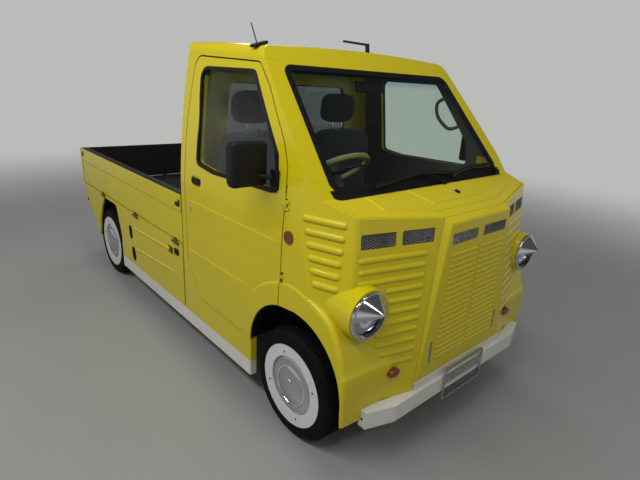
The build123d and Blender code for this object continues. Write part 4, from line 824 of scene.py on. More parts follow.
class TRUCK_OT_wheel_caps(bpy.types.Operator):
    """Polished domed caps and the small bolts of the white rings"""
    bl_idname = "truck.wheel_caps"
    bl_label = "Wheel caps and bolts"

    def execute(self, context):
        line = [(p.x, p.y) for p in smooth_path([(r, o, 0) for r, o in CAP_LINE], 4)]
        for (place, side), centre in WHEELS.items():
            outward = Vector((0, SIDES[side], 0))
            body = "wheel_" + place + "_" + side
            bm = bmesh.new()
            lathe(bm, line, centre, outward, 96)
            new_piece("cap_" + place + "_" + side, bm, "chrome", body, 40.0)
            bm = bmesh.new()
            for i in range(RING_BOLTS):
                angle = RING_BOLT_TURN + tau * i / RING_BOLTS
                spoke = Vector((sin(angle), 0, cos(angle)))
                lathe(bm, RING_BOLT_LINE, centre + spoke * RING_BOLT_RADIUS, outward, 12)
            new_piece("ring_bolts_" + place + "_" + side, bm, "rubber_trim", body, 30.0)
        return {"FINISHED"}


# Nose mesh

# Three points of the right front plane of the nose, and two of the centre panel's face
NOSE_PLANE = ((1.5205, -0.653, 1.110), (1.6265, -0.255, 1.100), (1.6615, -0.358, 0.368))
PANEL_FACE = ((1.6615, 1.076), (1.6675, 0.374))
NOSE_WINDOWS = ((-0.635, -0.478), (-0.452, -0.294))
NOSE_WINDOW_Z = (1.000, 1.060)
PANEL_WINDOWS = ((-0.221, -0.023), (0.023, 0.221))
PANEL_WINDOW_Z = (0.980, 1.030)
PANEL_SLOT_Y = 0.270
PANEL_SLOT_Z = 0.439
SLOT_BARS = 17
SLOT_BAR_SPACING = 0.006
SLOT_BAR_HALF = Vector((0.0, 0.008, 0.0))
SLOT_BAR_RADIUS = 0.0014
SLOT_BAR_PROUD = Vector((0.0025, 0.0, 0.0))
WIRE_DEPTH = 0.0042
WIRE_RADIUS = 0.0011
WIRE_MARGIN = 0.0015


def diagonals(across, up, width, height):
    """Crossed lines of a diamond mesh, clipped to a window."""
    low_u, high_u = across[0] + WIRE_MARGIN, across[1] - WIRE_MARGIN
    low_v, high_v = up[0] + WIRE_MARGIN, up[1] - WIRE_MARGIN
    run = (high_v - low_v) * width / height
    count = int((high_u - low_u + run) / width) + 1
    for lean in (1, -1):
        for i in range(count):
            foot = low_u - run + (i + 0.5) * width if lean > 0 else low_u + (i + 0.5) * width
            head = foot + lean * run
            start = max(0.0, (low_u - foot) / (lean * run) if lean > 0 else (high_u - foot) / (lean * run))
            stop = min(1.0, (high_u - foot) / (lean * run) if lean > 0 else (low_u - foot) / (lean * run))
            if stop - start > 0.04:
                yield ((foot + (head - foot) * start, low_v + (high_v - low_v) * start),
                       (foot + (head - foot) * stop, low_v + (high_v - low_v) * stop))


class TRUCK_OT_nose_mesh(bpy.types.Operator):
    """Silver diamond mesh in the six windows of the nose"""
    bl_idname = "truck.nose_mesh"
    bl_label = "Nose mesh"

    def execute(self, context):
        trim = context.scene.truck_trim
        a, b, c = (Vector(p) for p in NOSE_PLANE)
        normal = (b - a).cross(c - a).normalized()
        normal *= 1 if normal.x > 0 else -1
        (top_x, top_z), (low_x, low_z) = PANEL_FACE

        def on_nose(u, v, side):
            """Right or left front plane at a sideways place and a height."""
            x = a.x - (normal.y * (-abs(u) - a.y) + normal.z * (v - a.z)) / normal.x
            spot = Vector((x, -abs(u), v)) - normal * WIRE_DEPTH
            return Vector((spot.x, spot.y * -side, spot.z))

        def on_panel(u, v, side):
            """Face of the centre panel."""
            return Vector((top_x + (top_z - v) * (low_x - top_x) / (top_z - low_z) - WIRE_DEPTH, u, v))

        bm = bmesh.new()
        windows = [(window, NOSE_WINDOW_Z, on_nose, side) for window in NOSE_WINDOWS for side in (-1, 1)]
        windows += [(window, PANEL_WINDOW_Z, on_panel, 1) for window in PANEL_WINDOWS]
        for across, up, place, side in windows:
            for start, end in diagonals(across, up, trim.mesh_width, trim.mesh_height):
                bar(bm, (place(*start, side), place(*end, side)), WIRE_RADIUS, 4)
        for sign in SIDES.values():
            for i in range(SLOT_BARS):
                height = PANEL_SLOT_Z + SLOT_BAR_SPACING * i
                foot = on_panel(sign * PANEL_SLOT_Y, height, 1) + SLOT_BAR_PROUD
                bar(bm, (foot - SLOT_BAR_HALF, foot + SLOT_BAR_HALF), SLOT_BAR_RADIUS, 6)
        new_piece("nose_mesh_wires", bm, "steel", "chassis")
        return {"FINISHED"}


# Headlamps

# Dish: radius at its edge, how much narrower it is at its back, place of its edge, and depth
DISH = (0.0785, 0.0655, -0.001, 0.0285)
DISH_STEPS = 12
BULB_LINE = ((0.0, 0.008), (0.012, 0.006), (0.020, -0.002), (0.013, -0.010), (0.006, -0.029))


class TRUCK_OT_headlamps(bpy.types.Operator):
    """Dished reflectors with a bulb in each headlamp"""
    bl_idname = "truck.headlamps"
    bl_label = "Headlamps"

    def execute(self, context):
        low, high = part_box("lamp_lenses")
        for side, sign in SIDES.items():
            centre = Vector((low[0], sign * (high[1] - (high[2] - low[2]) / 2), (low[2] + high[2]) / 2))
            bm = bmesh.new()
            edge, narrowing, start, depth = DISH
            lathe(bm, [(edge - narrowing * (i / DISH_STEPS) ** 0.5, start - depth * i / DISH_STEPS)
                       for i in range(DISH_STEPS + 1)], centre, (1, 0, 0), 64)
            lathe(bm, BULB_LINE, centre, (1, 0, 0), 32)
            new_piece("reflector_" + side, bm, "chrome", "chassis", 30.0)
        return {"FINISHED"}


# Rubbers, pressed lines, locks and mirrors of the doors

# Corners of the door window in x and z, with their radii
DOOR_WINDOW = ((0.419, 1.618, 0.045), (0.870, 1.613, 0.040), (1.100, 1.300, 0.030), (1.126, 1.159, 0.020),
               (1.080, 1.150, 0.020), (0.600, 1.140, 0.030), (0.440, 1.158, 0.030))
# Where the door's face is looked for beside the window
LEAN_XS = (0.385, 0.40, 1.16)
LOCK = (0.3645, 0.893)
LOCK_LINE = ((0.0, 0.0012), (0.0050, 0.0012), (0.0056, 0.0026), (0.0095, 0.0030), (0.0115, 0.0018),
             (0.0120, -0.001))
KEYHOLE = (0.0012, 0.0008, 0.0075)
# Mirrors: middle height, how far in from their outer face, and place and size of shell and glass
MIRROR_Z = 1.260
MIRROR_IN = 0.0815
MIRROR_SHELL = (1.0565, (0.054, 0.164, 0.180))
MIRROR_GLASS = (1.0290, (0.004, 0.142, 0.156))
# Pressed lines of the doors: height, first and last x. The skin steps out below each and runs back in
PRESSED_LINES = ((0.941, 0.315, 1.160), (0.652, 0.318, 0.925))
PRESSED_DEPTH = 0.0038
PRESSED_REACH = 0.105
PRESSED_TAPER = 0.030
PRESSED_STEPS = 40
# Rear window: its wall's face, corners in y and z with their radii, and the section of its rubber
REAR_WINDOW_X = 0.251
REAR_WINDOW = ((-0.470, 1.185, 0.020), (0.470, 1.185, 0.020), (0.440, 1.560, 0.020), (-0.440, 1.560, 0.020))
REAR_RUBBER = ((0.014, -0.001), (0.012, 0.003), (0.0, 0.0045), (-0.006, 0.003), (-0.007, -0.006),
               (0.0, -0.006), (0.0, -0.001))


def pressed_line(bm, height, start, end, sign):
    """A pressed line in the flat of a door's side: a low wedge with its step on top, run out at both ends."""
    rings = []
    for i in range(PRESSED_STEPS + 1):
        x = start + (end - start) * i / PRESSED_STEPS
        rise = min(1.0, (x - start) / PRESSED_TAPER, (end - x) / PRESSED_TAPER)
        section = ((0.0030, -0.0010), (0.0, 0.0003 + PRESSED_DEPTH * rise),
                   (-PRESSED_REACH * 0.45, 0.0003 + PRESSED_DEPTH * 0.42 * rise), (-PRESSED_REACH, 0.0003),
                   (-PRESSED_REACH, -0.0010))
        rings.append([bm.verts.new(at_side(sign, x, height + up, proud)) for up, proud in section])
    joined(bm, rings)


# Middle line of the gap round each door, in x and z, from its lower rear corner up and over to the front
DOOR_GAP = ((0.470, 0.384), (0.307, 0.562), (0.297, 0.935), (0.303, 1.300), (0.338, 1.679), (0.897, 1.655),
            (0.993, 1.560), (1.141, 1.350), (1.177, 1.264), (1.186, 1.136), (1.1825, 0.984), (1.1775, 0.780),
            (1.175, 0.700))
DOOR_GAP_RADII = (0, 0.030, 0, 0, 0.062, 0.040, 0, 0, 0, 0, 0, 0, 0)
# Black rubber laid in the door gaps: a seal, and also painted shade that darkens the gaps
GAP_SHADE_RUBBER = ((0.0032, -0.007), (0.0032, -0.016), (-0.0012, -0.016), (-0.0012, -0.007))
# Upper body side seen from the end: waist, middle and top, as sideways places and heights
FLANK = ((0.7375, 1.030), (0.713, 1.350), (0.652, 1.744))


def flank_y(z):
    """Sideways place of the cab's outer skin at a height."""
    if z <= FLANK[0][1]:
        return SIDE_Y
    line = [FLANK[0]] + arc_through(*FLANK, 24)
    for (y0, z0), (y1, z1) in zip(line, line[1:]):
        if z <= z1:
            return y0 + (y1 - y0) * (z - z0) / (z1 - z0)
    return FLANK[2][0]


class TRUCK_OT_door_trims(bpy.types.Operator):
    """Window rubbers, gap rubbers that also darken the gaps as painted shade, pressed lines, locks and
    mirrors of the doors, and the rear window's rubber
    """
    bl_idname = "truck.door_trims"
    bl_label = "Door trims"

    def execute(self, context):
        width = context.scene.truck_trim.seal_width
        seal = ((width - 0.006, -0.001), (width - 0.0075, 0.0028), (0.002, 0.0040), (-0.005, 0.0025),
                (-0.006, -0.011), (-0.0005, -0.011), (0.0, -0.001))
        for side, sign in SIDES.items():
            door = "door_" + side
            self.window_rubber(side, sign, seal)
            # Painted shade: the gap rubber also darkens the door gaps
            bm = bmesh.new()
            band(bm, smooth_corners(DOOR_GAP, DOOR_GAP_RADII), GAP_SHADE_RUBBER,
                 lambda u, v, proud: Vector((u, sign * (flank_y(v) + proud), v)), closed=False)
            new_piece("door_gap_shade_" + side, bm, "rubber_trim", "chassis", 50.0)
            bm = bmesh.new()
            for height, start, end in PRESSED_LINES:
                pressed_line(bm, height, start, end, sign)
            new_piece("pressed_lines_" + side, bm, "yellow", door, 30.0)
            bm = bmesh.new()
            lathe(bm, LOCK_LINE, at_side(sign, *LOCK), (0, sign, 0), 32)
            brick(bm, at_side(sign, *LOCK, 0.0014), KEYHOLE)
            new_piece("lock_" + side, bm, "steel", door, 30.0)
            low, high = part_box("door_fittings_" + side)
            y = (high if sign > 0 else low)[1] - sign * MIRROR_IN
            x, size = MIRROR_SHELL
            bm = bmesh.new()
            brick(bm, (x, y, MIRROR_Z), size, None, 0.014)
            new_piece("mirror_shell_" + side, bm, "plastic", door)
            x, size = MIRROR_GLASS
            bm = bmesh.new()
            brick(bm, (x, y, MIRROR_Z), size, None, 0.0018)
            new_piece("mirror_glass_" + side, bm, "chrome", door)
        bm = bmesh.new()
        band(bm, rounded(REAR_WINDOW), REAR_RUBBER, lambda u, v, proud: Vector((REAR_WINDOW_X - proud, u, v)))
        new_piece("rear_window_seal", bm, "rubber_trim", "chassis", 50.0)
        return {"FINISHED"}

    def window_rubber(self, side, sign, section):
        """The rubber round a door's window, laid on the door's face."""
        tree = skin("door_" + side)
        leans = {}

        def lean(height):
            """Sideways place of the door's leaning face, taken just outside the window."""
            key = round(height, 3)
            if key not in leans:
                places = (on_side(tree, x, height, sign) for x in LEAN_XS)
                leans[key] = next((place for place in places if place is not None), None)
            return leans[key]

        def on_door(u, v, proud):
            """A point over the door's face."""
            y = on_side(tree, u, v, sign)
            if y is None or abs(abs(y) - abs(lean(v) or y)) > 0.006:
                y = lean(v)
            return Vector((u, y + sign * proud, v))

        bm = bmesh.new()
        band(bm, rounded(DOOR_WINDOW), section, on_door)
        new_piece("window_seal_" + side, bm, "rubber_trim", "door_" + side, 50.0)


# Wheel arches

FRONT_ARCH = ([(0.9575, 0.384), (0.9575, 0.400)]
              + arc_through((0.9575, 0.400), (1.045, 0.583), (1.232, 0.662), 14)
              + arc_through((1.232, 0.662), (1.486, 0.600), (1.592, 0.400), 14) + [(1.598, 0.300)])
DOOR_ARCH_END_X = 1.168
NOSE_ARCH_START_X = 1.186
REAR_ARCH = ([(-1.331, 0.262), (-1.292, 0.397), (-1.217, 0.530)]
             + arc_through((-1.172, 0.590), (-1.156, 0.618), (-1.120, 0.627), 5)
             + arc_through((-0.910, 0.627), (-0.872, 0.612), (-0.851, 0.570), 5)
             + [(-0.796, 0.411), (-0.800, 0.262)])
LINER_SHEET = 0.0022
# How far the liners reach in: the nose's lip, and the front and rear arches
NOSE_LIP_Y = 0.602
FRONT_LINER_Y = 0.560
REAR_LINER_Y = 0.520


def liner(bm, outline, sign, out_y, in_y, shift):
    """A thin sheet along an arch between two sideways places, moved into or out of the opening."""
    section = ((shift, out_y), (shift, in_y), (shift + LINER_SHEET, in_y), (shift + LINER_SHEET, out_y))
    band(bm, outline, section, lambda u, v, proud: Vector((u, sign * proud, v)), closed=False)


class TRUCK_OT_arches(bpy.types.Operator):
    """Black liners inside the four wheel arches"""
    bl_idname = "truck.arches"
    bl_label = "Wheel arch liners"

    def execute(self, context):
        door_part = [p for p in FRONT_ARCH if p[0] < DOOR_ARCH_END_X]
        nose_part = [p for p in FRONT_ARCH if p[0] > NOSE_ARCH_START_X]
        for side, sign in SIDES.items():
            bm = bmesh.new()
            liner(bm, door_part, sign, SIDE_Y + 0.001, SIDE_Y - 0.033, -0.0030)
            new_piece("door_arch_edge_" + side, bm, "rubber_trim", "door_" + side)
            bm = bmesh.new()
            liner(bm, nose_part, sign, SIDE_Y - 0.002, NOSE_LIP_Y, -0.0030)
            liner(bm, FRONT_ARCH, sign, SIDE_Y - 0.041, FRONT_LINER_Y, 0.0005)
            liner(bm, REAR_ARCH, sign, SIDE_Y - 0.0135, REAR_LINER_Y, 0.0005)
            new_piece("arch_liners_" + side, bm, "rubber_trim", "chassis")
        return {"FINISHED"}


# Bed fittings

# Slots of the skirt: middle in x and z, length, width, degrees up from level
SKIRT_SLOTS = (((-0.5975, 0.492), 0.084, 0.038, 95.0), ((-0.563, 0.336), 0.086, 0.044, 100.0))
# Black rubber rims of the slots; their black inner walls are also painted shade for the dark inside the slots
SLOT_RIM = ((0.0100, -0.001), (0.0090, 0.0014), (0.0005, 0.0018), (-0.0012, 0.0002), (-0.0012, -0.011),
            (0.0002, -0.011), (0.0002, -0.001))
# Filler in x and z: the middle of its box, half its size, its rim and its cap
FILLER = (0.064, 0.561)
FILLER_HALF = (0.036, 0.030)
FILLER_RIM = ((0.0022, -0.001), (0.0018, 0.0012), (-0.0012, 0.0004), (-0.0015, -0.034), (0.0, -0.034),
              (0.0, -0.001))
# Black sheets behind the slots and the filler, painted shade for the dark inside them, and the cover beside
# it:
# place in x, z and over the side, and size
SLOT_SHADE_SHEET = ((-0.580, 0.412, -0.020), (0.16, 0.004, 0.31))
FILLER_SHADE_SHEET = ((*FILLER, -0.040), (0.100, 0.004, 0.090))
FILLER_COVER = ((0.158, 0.581, 0.004), (0.052, 0.010, 0.036))
FILLER_CAP = ((0.024, 0.0), (0.024, 0.030), (0.021, 0.034), (0.0, 0.035))
# Latch in x and z, and its lever's points from there with their height over the gate
LATCH = (0.196, 0.884)
LATCH_PLATE = (0.046, 0.006, 0.024)
LATCH_LEVER = ((-0.020, -0.004, 0.008), (0.006, 0.004, 0.011), (0.026, 0.012, 0.009),
               (0.030, 0.032, 0.008))
LATCH_PIN = ((0.0, 0.010), (0.005, 0.009), (0.006, 0.002))
CORNER_CAP = (0.022, 0.007, 0.042)
# Top rail: width, height, and how much shorter it is than its gate
RAIL = (0.047, 0.007, 0.040)
HINGE_XS = (-1.136, -0.474, 0.156)
HINGE_BOLT_Z = 0.6655
HINGE_BOLT = ((0.0, 0.0098), (0.0035, 0.0094), (0.0048, 0.0080), (0.0050, 0.004))
HEADBOARD_X = 0.219
# Strips over the bed's edges: sideways place, height and size of the long ones, and of the rear one
SIDE_STRIP = (0.7075, 0.6518, 0.0360, 0.0030)
REAR_STRIP = (0.6528, (0.030, 1.378, 0.0030))


class TRUCK_OT_bed_fittings(bpy.types.Operator):
    """Small parts of gates and skirt: latches, caps, bolts, rails, slots, filler and edge strips"""
    bl_idname = "truck.bed_fittings"
    bl_label = "Bed fittings"

    def execute(self, context):
        for side, sign in SIDES.items():
            self.skirt(side, sign)
            self.gate(side, sign)
        front, rear = HEADBOARD_X, REAR_X - 0.004
        y, z, width, thickness = SIDE_STRIP
        bm = bmesh.new()
        for sign in SIDES.values():
            brick(bm, ((front + rear) / 2, sign * y, z), (front - rear, width, thickness))
        z, size = REAR_STRIP
        brick(bm, (REAR_X + 0.014, 0.0, z), size)
        new_piece("bed_edge_strips", bm, "bed", "chassis")
        return {"FINISHED"}

    def skirt(self, side, sign):
        """Rims of the slots, black sheets behind slots and filler as painted shade, the filler's box and cap,
        and the black cover beside it.
        """
        def on_skirt(u, v, proud):
            """A point over the flat side of the bed."""
            return at_side(sign, u, v, proud)

        x, z = FILLER
        half_x, half_z = FILLER_HALF
        bm = bmesh.new()
        # The rims' black inner walls also stand in for the slots' shade
        for centre, length, width, up in SKIRT_SLOTS:
            band(bm, stadium(centre, length, width, up), SLOT_RIM, on_skirt)
        new_piece("slot_rims_" + side, bm, "rubber_trim", "chassis", 50.0)
        bm = bmesh.new()
        # Painted shade: black sheets behind the slots and the filler for the dark inside them
        for place, size in (SLOT_SHADE_SHEET, FILLER_SHADE_SHEET):
            brick(bm, at_side(sign, *place), size)
        lathe(bm, FILLER_CAP, at_side(sign, x + 0.012, z - 0.004, FILLER_SHADE_SHEET[0][2]), (0, sign, 0), 28)
        place, size = FILLER_COVER
        brick(bm, at_side(sign, *place), size, None, 0.003)
        new_piece("skirt_shade_sheets_and_caps_" + side, bm, "plastic", "chassis", 30.0)
        bm = bmesh.new()
        corners = [(x + a * half_x, z + b * half_z, 0.008) for a, b in ((-1, -1), (1, -1), (1, 1), (-1, 1))]
        band(bm, rounded(corners, 4), FILLER_RIM, on_skirt)
        new_piece("filler_box_" + side, bm, "yellow", "chassis", 50.0)

    def gate(self, side, sign):
        """Latch, corner cap, top rail and hinge bolts of a side gate."""
        x, z = LATCH
        bm = bmesh.new()
        brick(bm, at_side(sign, x, z, 0.003), LATCH_PLATE, None, 0.002)
        lever = [at_side(sign, x + u, z + v, proud) for u, v, proud in LATCH_LEVER]
        bar(bm, smooth_path(lever, 5), 0.0035, 8)
        lathe(bm, LATCH_PIN, at_side(sign, x - 0.016, z), (0, sign, 0), 16)
        new_piece("gate_latch_" + side, bm, "chassis", "gate_" + side, 30.0)
        low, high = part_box("gate_" + side)
        bm = bmesh.new()
        brick(bm, at_side(sign, low[0] + 0.034, high[2] - 0.042, 0.001), CORNER_CAP, None, 0.002)
        width, height, shorter = RAIL
        brick(bm, at_side(sign, (low[0] + high[0]) / 2 - 0.004, high[2] + 0.0005, -0.0305),
              (high[0] - low[0] - shorter, width, height), None, 0.002)
        for hinge_x in HINGE_XS:
            lathe(bm, HINGE_BOLT, at_side(sign, hinge_x, HINGE_BOLT_Z), (0, sign, 0), 14)
        new_piece("gate_caps_" + side, bm, "plastic", "gate_" + side, 30.0)


# Front bumper bolts and plate screws

PLATE_SCREW_Y = 0.105
PLATE_SCREW_Z = 0.311
PLATE_SCREW = ((0.0, 0.0002), (0.0028, 0.0), (0.0030, -0.0012), (0.0062, -0.0016), (0.0064, -0.004))
BUMPER_BOLT_X = 1.622
BUMPER_BOLT_Z = 0.292
BUMPER_BOLT = ((0.0, 0.0032), (0.0045, 0.0026), (0.0060, 0.0008), (0.0062, -0.002))


class TRUCK_OT_front_fasteners(bpy.types.Operator):
    """Screws of the number plate's frame and bolts at the bumper's ends"""
    bl_idname = "truck.front_fasteners"
    bl_label = "Front fasteners"

    def execute(self, context):
        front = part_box("plate_frame")[1][0] - 0.0008
        bm = bmesh.new()
        for sign in SIDES.values():
            lathe(bm, PLATE_SCREW, (front, sign * PLATE_SCREW_Y, PLATE_SCREW_Z), (1, 0, 0), 20)
            hit, _ = struck("front_bumper", (BUMPER_BOLT_X, sign * 2.0, BUMPER_BOLT_Z), (0, -sign, 0))
            lathe(bm, BUMPER_BOLT, hit, (0, sign, 0), 16)
        new_piece("front_fasteners", bm, "rubber_trim", "chassis", 30.0)
        return {"FINISHED"}


# Seats

PAD_CUTS = 31
CROWN = 0.10
# The crown's share on the underside, and the height above which the cushion is sewn
CROWN_BELOW = 0.2
SEWN_ABOVE = 0.15
CHANNEL_HALF = 0.05
CHANNEL_DEPTH = 0.12
SEAT_Y = 0.33
# Each cushion: its middle in x and z, half its size, its squareness, its tilt and its sewn channels
CUSHIONS = {
    "seat_base_": ((0.585, 0.768), (0.250, 0.248, 0.066), 5.0, -3.0, (-0.62, 0.62, -0.2, 0.2)),
    "seat_back_": ((0.372, 1.040), (0.262, 0.240, 0.060), 5.0, -84.0, (-0.62, 0.62)),
    "headrest_": ((0.345, 1.430), (0.090, 0.135, 0.040), 3.5, -84.0, ()),
}
ROD_X = 0.345
ROD_ENDS = (1.26, 1.36)
ROD_OFFSETS = (-0.04, 0.04)


def pad(name, centre, half, power, tilt, channels):
    """A crowned cushion: a rounded block with sewn channels along it."""
    bm = bmesh.new()
    bmesh.ops.create_cube(bm, size=2.0)
    bmesh.ops.subdivide_edges(bm, edges=bm.edges, cuts=PAD_CUTS, use_grid_fill=True)
    for vert in bm.verts:
        x, y, z = vert.co
        size = (abs(x) ** power + abs(y) ** power + abs(z) ** power) ** (-1.0 / power)
        x, y, z = x * size, y * size, z * size
        crown = 1.0 + CROWN * (1.0 - x * x) * (1.0 - y * y) * (1 if z > 0 else CROWN_BELOW)
        groove = max([0.0] + [1.0 - abs(y - place) / CHANNEL_HALF for place in channels])
        if z < SEWN_ABOVE:
            groove = 0.0
        z *= crown - CHANNEL_DEPTH * groove ** 0.6
        vert.co = Vector((x * half[0], y * half[1], z * half[2]))
    matrix = Matrix.Rotation(radians(tilt), 3, "Y").to_4x4()
    matrix.translation = Vector(centre)
    bmesh.ops.transform(bm, matrix=matrix, verts=bm.verts)
    piece = new_piece(name, bm, "cloth", "chassis", 60.0)
    return piece


class TRUCK_OT_seats(bpy.types.Operator):
    """Two seats of sewn cloth with headrests on rods"""
    bl_idname = "truck.seats"
    bl_label = "Seats"

    def execute(self, context):
        for side, sign in SIDES.items():
            y = sign * SEAT_Y
            for name, ((x, z), half, power, tilt, channels) in CUSHIONS.items():
                pad(name + side, (x, y, z), half, power, tilt, channels)
            bm = bmesh.new()
            for offset in ROD_OFFSETS:
                bar(bm, [(ROD_X, y + offset, z) for z in ROD_ENDS], 0.006)
            new_piece("headrest_rods_" + side, bm, "chrome", "chassis")
        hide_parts("seats")
        return {"FINISHED"}


# Wipers, cab fittings and the washer nozzle

# Foot and head of the windscreen in x and z
SCREEN_LOW = (1.3735, 1.163)
SCREEN_TOP = (0.9415, 1.657)


def on_screen(y, up, proud=0.0):
    """A point of the windscreen: sideways place, distance up the slope from its foot, and height over it."""
    low = Vector((SCREEN_LOW[0], 0.0, SCREEN_LOW[1]))
    slope = Vector((SCREEN_TOP[0] - SCREEN_LOW[0], 0.0, SCREEN_TOP[1] - SCREEN_LOW[1])).normalized()
    out = Vector((slope.z, 0.0, -slope.x))
    return low + Vector((0.0, y, 0.0)) + slope * up + out * proud


# Wipers: pivot, arm and blade as sideways places and distances up the windscreen's slope
WIPERS = (((0.070, -0.012), ((0.000, 0.030), (-0.127, 0.052)),
           ((-0.404, 0.020), (-0.274, 0.034), (-0.127, 0.050), (0.020, 0.052), (0.157, 0.036))),
          ((0.586, 0.004), ((0.522, 0.046), (0.400, 0.052)),
           ((0.160, 0.016), (0.272, 0.040), (0.400, 0.052), (0.530, 0.054))))
# Washer nozzle in x and y
NOZZLE = (1.485, 0.045)
# Inside mirror, visors and the points of the grip handle
CAB_MIRROR = ((0.915, 0.0, 1.575), (0.020, 0.200, 0.056))
CAB_MIRROR_STEM = ((0.915, 0.0, 1.59), (0.905, 0.0, 1.65))
VISOR = ((0.865, 0.300, 1.640), (0.150, 0.400, 0.014))
GRIP_HANDLE = ((0.985, 0.572, 1.535), (0.962, 0.545, 1.500), (0.985, 0.538, 1.430), (1.058, 0.545, 1.372),
               (1.100, 0.580, 1.385))
AERIAL_X = 0.826
AERIAL_FOOT = (0.036, 0.088, 0.014)


def tilted(degrees):
    """A turn about the sideways axis."""
    return Matrix.Rotation(radians(degrees), 3, "Y")


class TRUCK_OT_wipers(bpy.types.Operator):
    """Two parked wipers with their arms, and the washer nozzle"""
    bl_idname = "truck.wipers"
    bl_label = "Wipers"

    def execute(self, context):
        bm = bmesh.new()
        for pivot, arm, blade in WIPERS:
            root = on_screen(*pivot, 0.012)
            bar(bm, (root - Vector((0, 0, 0.018)), root + Vector((0, 0, 0.012))), 0.014, 16)
            bar(bm, smooth_path([root] + [on_screen(*spot, 0.026) for spot in arm], 6), 0.0075, 10, 0.6, 0.7)
            bar(bm, smooth_path([on_screen(*spot, 0.013) for spot in blade], 8), 0.0070, 8, 1.5)
        new_piece("wipers", bm, "plastic", "chassis")
        hit, normal = struck("hood", (*NOZZLE, 2.0), (0, 0, -1))
        bm = bmesh.new()
        brick(bm, hit + normal * 0.003, (0.026, 0.016, 0.012), tilted(15.0), 0.004)
        bar(bm, (hit + normal * 0.007, hit + normal * 0.011 + Vector((-0.008, 0, 0))), 0.0035, 8)
        new_piece("washer_nozzle", bm, "plastic", "chassis")
        return {"FINISHED"}


class TRUCK_OT_cab_fittings(bpy.types.Operator):
    """Inside mirror, sun visors, the passenger's grip handle and the aerial's foot"""
    bl_idname = "truck.cab_fittings"
    bl_label = "Cab fittings"

    def execute(self, context):
        bm = bmesh.new()
        brick(bm, *CAB_MIRROR, tilted(-12.0), 0.009)
        bar(bm, CAB_MIRROR_STEM, 0.006)
        new_piece("inside_mirror", bm, "plastic", "chassis")
        (x, y, z), size = VISOR
        bm = bmesh.new()
        for sign in SIDES.values():
            brick(bm, (x, sign * y, z), size, tilted(14.0), 0.006)
        new_piece("sun_visors", bm, "cabin", "chassis")
        bm = bmesh.new()
        bar(bm, smooth_path(GRIP_HANDLE, 8), 0.010, 10)
        new_piece("grip_handle", bm, "cabin", "chassis")
        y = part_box("roof_aerials")[0][1] + 0.020
        hit, normal = struck("roof", (AERIAL_X, y, 2.0), (0, 0, -1))
        turn = normal.to_track_quat("Z", "Y").to_matrix()
        bm = bmesh.new()
        brick(bm, hit + normal * 0.004, AERIAL_FOOT, turn, 0.006)
        new_piece("aerial_foot", bm, "plastic", "chassis")
        return {"FINISHED"}


# Stage

# Each lamp: place, length, width, share of the key lamp's power
LAMPS = {
    "key_lamp": ((0.8, -3.1, 3.8), 4.4, 0.16, 1.0),
    "middle_lamp": ((0.2, -0.6, 4.7), 5.0, 0.20, 0.38),
    "far_lamp": ((-3.0, 2.6, 4.0), 3.0, 0.30, 0.42),
    "front_lamp": ((4.8, -0.6, 3.8), 3.0, 0.20, 0.20),
}
FLOOR_RADIUS = 60.0
LAMP_TARGET = Vector((0.3, 0.0, 0.6))
# Distances from the truck's middle between which the floor fades into the backdrop
FADE = (2.9, 8.0)
ROOM_WHITE = (0.95, 0.97, 1.0)
# What metal and glass see overhead between the lamps
CEILING = (0.085, 0.087, 0.090)


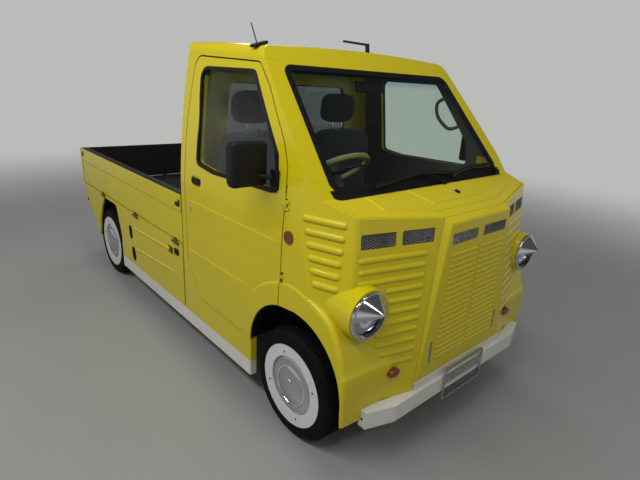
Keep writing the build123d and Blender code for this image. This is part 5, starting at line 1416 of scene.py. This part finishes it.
class TRUCK_OT_stage(bpy.types.Operator):
    """Pale floor, soft lamps and the camera"""
    bl_idname = "truck.stage"
    bl_label = "Stage"

    def execute(self, context):
        settings = context.scene.truck_stage
        self.make_floor(context, settings)
        self.make_room(context, settings)
        for name, (place, length, width, share) in LAMPS.items():
            light = bpy.data.lights.new(name, "AREA")
            light.shape = "RECTANGLE"
            light.size = length
            light.size_y = width
            light.energy = settings.key * share
            lamp = bpy.data.objects.new(name, light)
            context.collection.objects.link(lamp)
            lamp.location = place
            lamp.rotation_euler = (LAMP_TARGET - Vector(place)).to_track_quat("-Z", "Y").to_euler()
        self.place_camera(context, settings)
        context.scene.view_settings.view_transform = "Standard"
        return {"FINISHED"}

    def make_floor(self, context, settings):
        """A wide floor that fades into the backdrop's colour."""
        bm = bmesh.new()
        bmesh.ops.create_circle(bm, cap_ends=True, radius=FLOOR_RADIUS, segments=96)
        mesh = bpy.data.meshes.new("floor")
        bm.to_mesh(mesh)
        bm.free()
        floor = bpy.data.objects.new("floor", mesh)
        context.collection.objects.link(floor)
        look = Look("floor_finish", 0.42)
        look.give(Base_Color=look.blended(look.noise(1.5, 5.0), settings.floor, shade(settings.floor, 0.93)))
        glow = look.add("Emission", {"Color": settings.backdrop})
        fade = look.span(look.far_from((0.0, 0.0, 0.0)), *FADE, interpolation_type="SMOOTHSTEP")
        look.faded(fade, look.surface, glow, look.tree.nodes["Material Output"])
        mesh.materials.append(look.material)

    def make_room(self, context, settings):
        """Even light from all round. The camera sees the backdrop's colour, metal and glass a dim ceiling."""
        world = context.scene.world or bpy.data.worlds.new("room")
        context.scene.world = world
        world.use_nodes = True
        nodes = Nodes(world.node_tree)
        light = nodes.tree.nodes["Background"]
        nodes.feed(light.inputs["Color"], ROOM_WHITE)
        nodes.feed(light.inputs["Strength"], settings.sky)
        rays = nodes.add("LightPath").outputs
        height = nodes.parted(nodes.coordinates["Generated"])[2]
        ceiling = nodes.times(rays["Is Glossy Ray"], nodes.span(height, 0.04, 0.30))
        seen = nodes.add("Background", {"Color": nodes.blended(ceiling, settings.backdrop, CEILING)})
        shown = nodes.sums("MAXIMUM", rays["Is Camera Ray"],
                           nodes.sums("MAXIMUM", rays["Is Glossy Ray"], rays["Is Transmission Ray"]))
        nodes.faded(shown, light, seen, nodes.tree.nodes["World Output"])

    def place_camera(self, context, settings):
        """The camera at the photograph's place and angle."""
        azimuth, elevation, roll = settings.azimuth, settings.elevation, settings.roll
        ahead = Vector((cos(elevation) * cos(azimuth), cos(elevation) * sin(azimuth), sin(elevation)))
        level = ahead.cross(Vector((0, 0, 1))).normalized()
        upward = level.cross(ahead)
        right = level * cos(roll) + upward * sin(roll)
        up = upward * cos(roll) - level * sin(roll)
        turn = Matrix((right, up, -ahead)).transposed()
        lens = bpy.data.cameras.new("camera")
        lens.sensor_width = 36.0
        lens.lens = settings.lens
        camera = bpy.data.objects.new("camera", lens)
        context.collection.objects.link(camera)
        camera.matrix_world = Matrix.LocRotScale(Vector(settings.camera_place), turn.to_quaternion(), None)
        context.scene.camera = camera


class TRUCK_PT_sidebar(bpy.types.Panel):
    """Lists the truck's pieces"""
    bl_label = "Kei Truck"
    bl_idname = "TRUCK_PT_sidebar"
    bl_space_type = "VIEW_3D"
    bl_region_type = "UI"
    bl_category = "Truck"

    def draw(self, context):
        for cls in OPERATORS:
            self.layout.operator(cls.bl_idname)


SETTINGS = (("truck_paint", TruckPaintSettings), ("truck_tyres", TruckTyreSettings),
            ("truck_cabin", TruckCabinSettings), ("truck_trim", TruckTrimSettings),
            ("truck_stage", TruckStageSettings))
OPERATORS = (TRUCK_OT_paint, TRUCK_OT_tyres, TRUCK_OT_wheel_caps, TRUCK_OT_nose_mesh, TRUCK_OT_headlamps,
             TRUCK_OT_door_trims, TRUCK_OT_arches, TRUCK_OT_bed_fittings, TRUCK_OT_front_fasteners,
             TRUCK_OT_seats, TRUCK_OT_wipers, TRUCK_OT_cab_fittings, TRUCK_OT_stage)


def register():
    """Registers the settings, the operators and the panel."""
    for name, cls in SETTINGS:
        bpy.utils.register_class(cls)
        setattr(bpy.types.Scene, name, PointerProperty(type=cls))
    for cls in (*OPERATORS, TRUCK_PT_sidebar):
        bpy.utils.register_class(cls)


def unregister():
    """Takes them away again."""
    for cls in reversed((*OPERATORS, TRUCK_PT_sidebar)):
        bpy.utils.unregister_class(cls)
    for name, cls in reversed(SETTINGS):
        delattr(bpy.types.Scene, name)
        bpy.utils.unregister_class(cls)


def main():
    register()
    for cls in OPERATORS:
        group, name = cls.bl_idname.split(".")
        getattr(getattr(bpy.ops, group), name)()


if __name__ == "__main__":
    main()
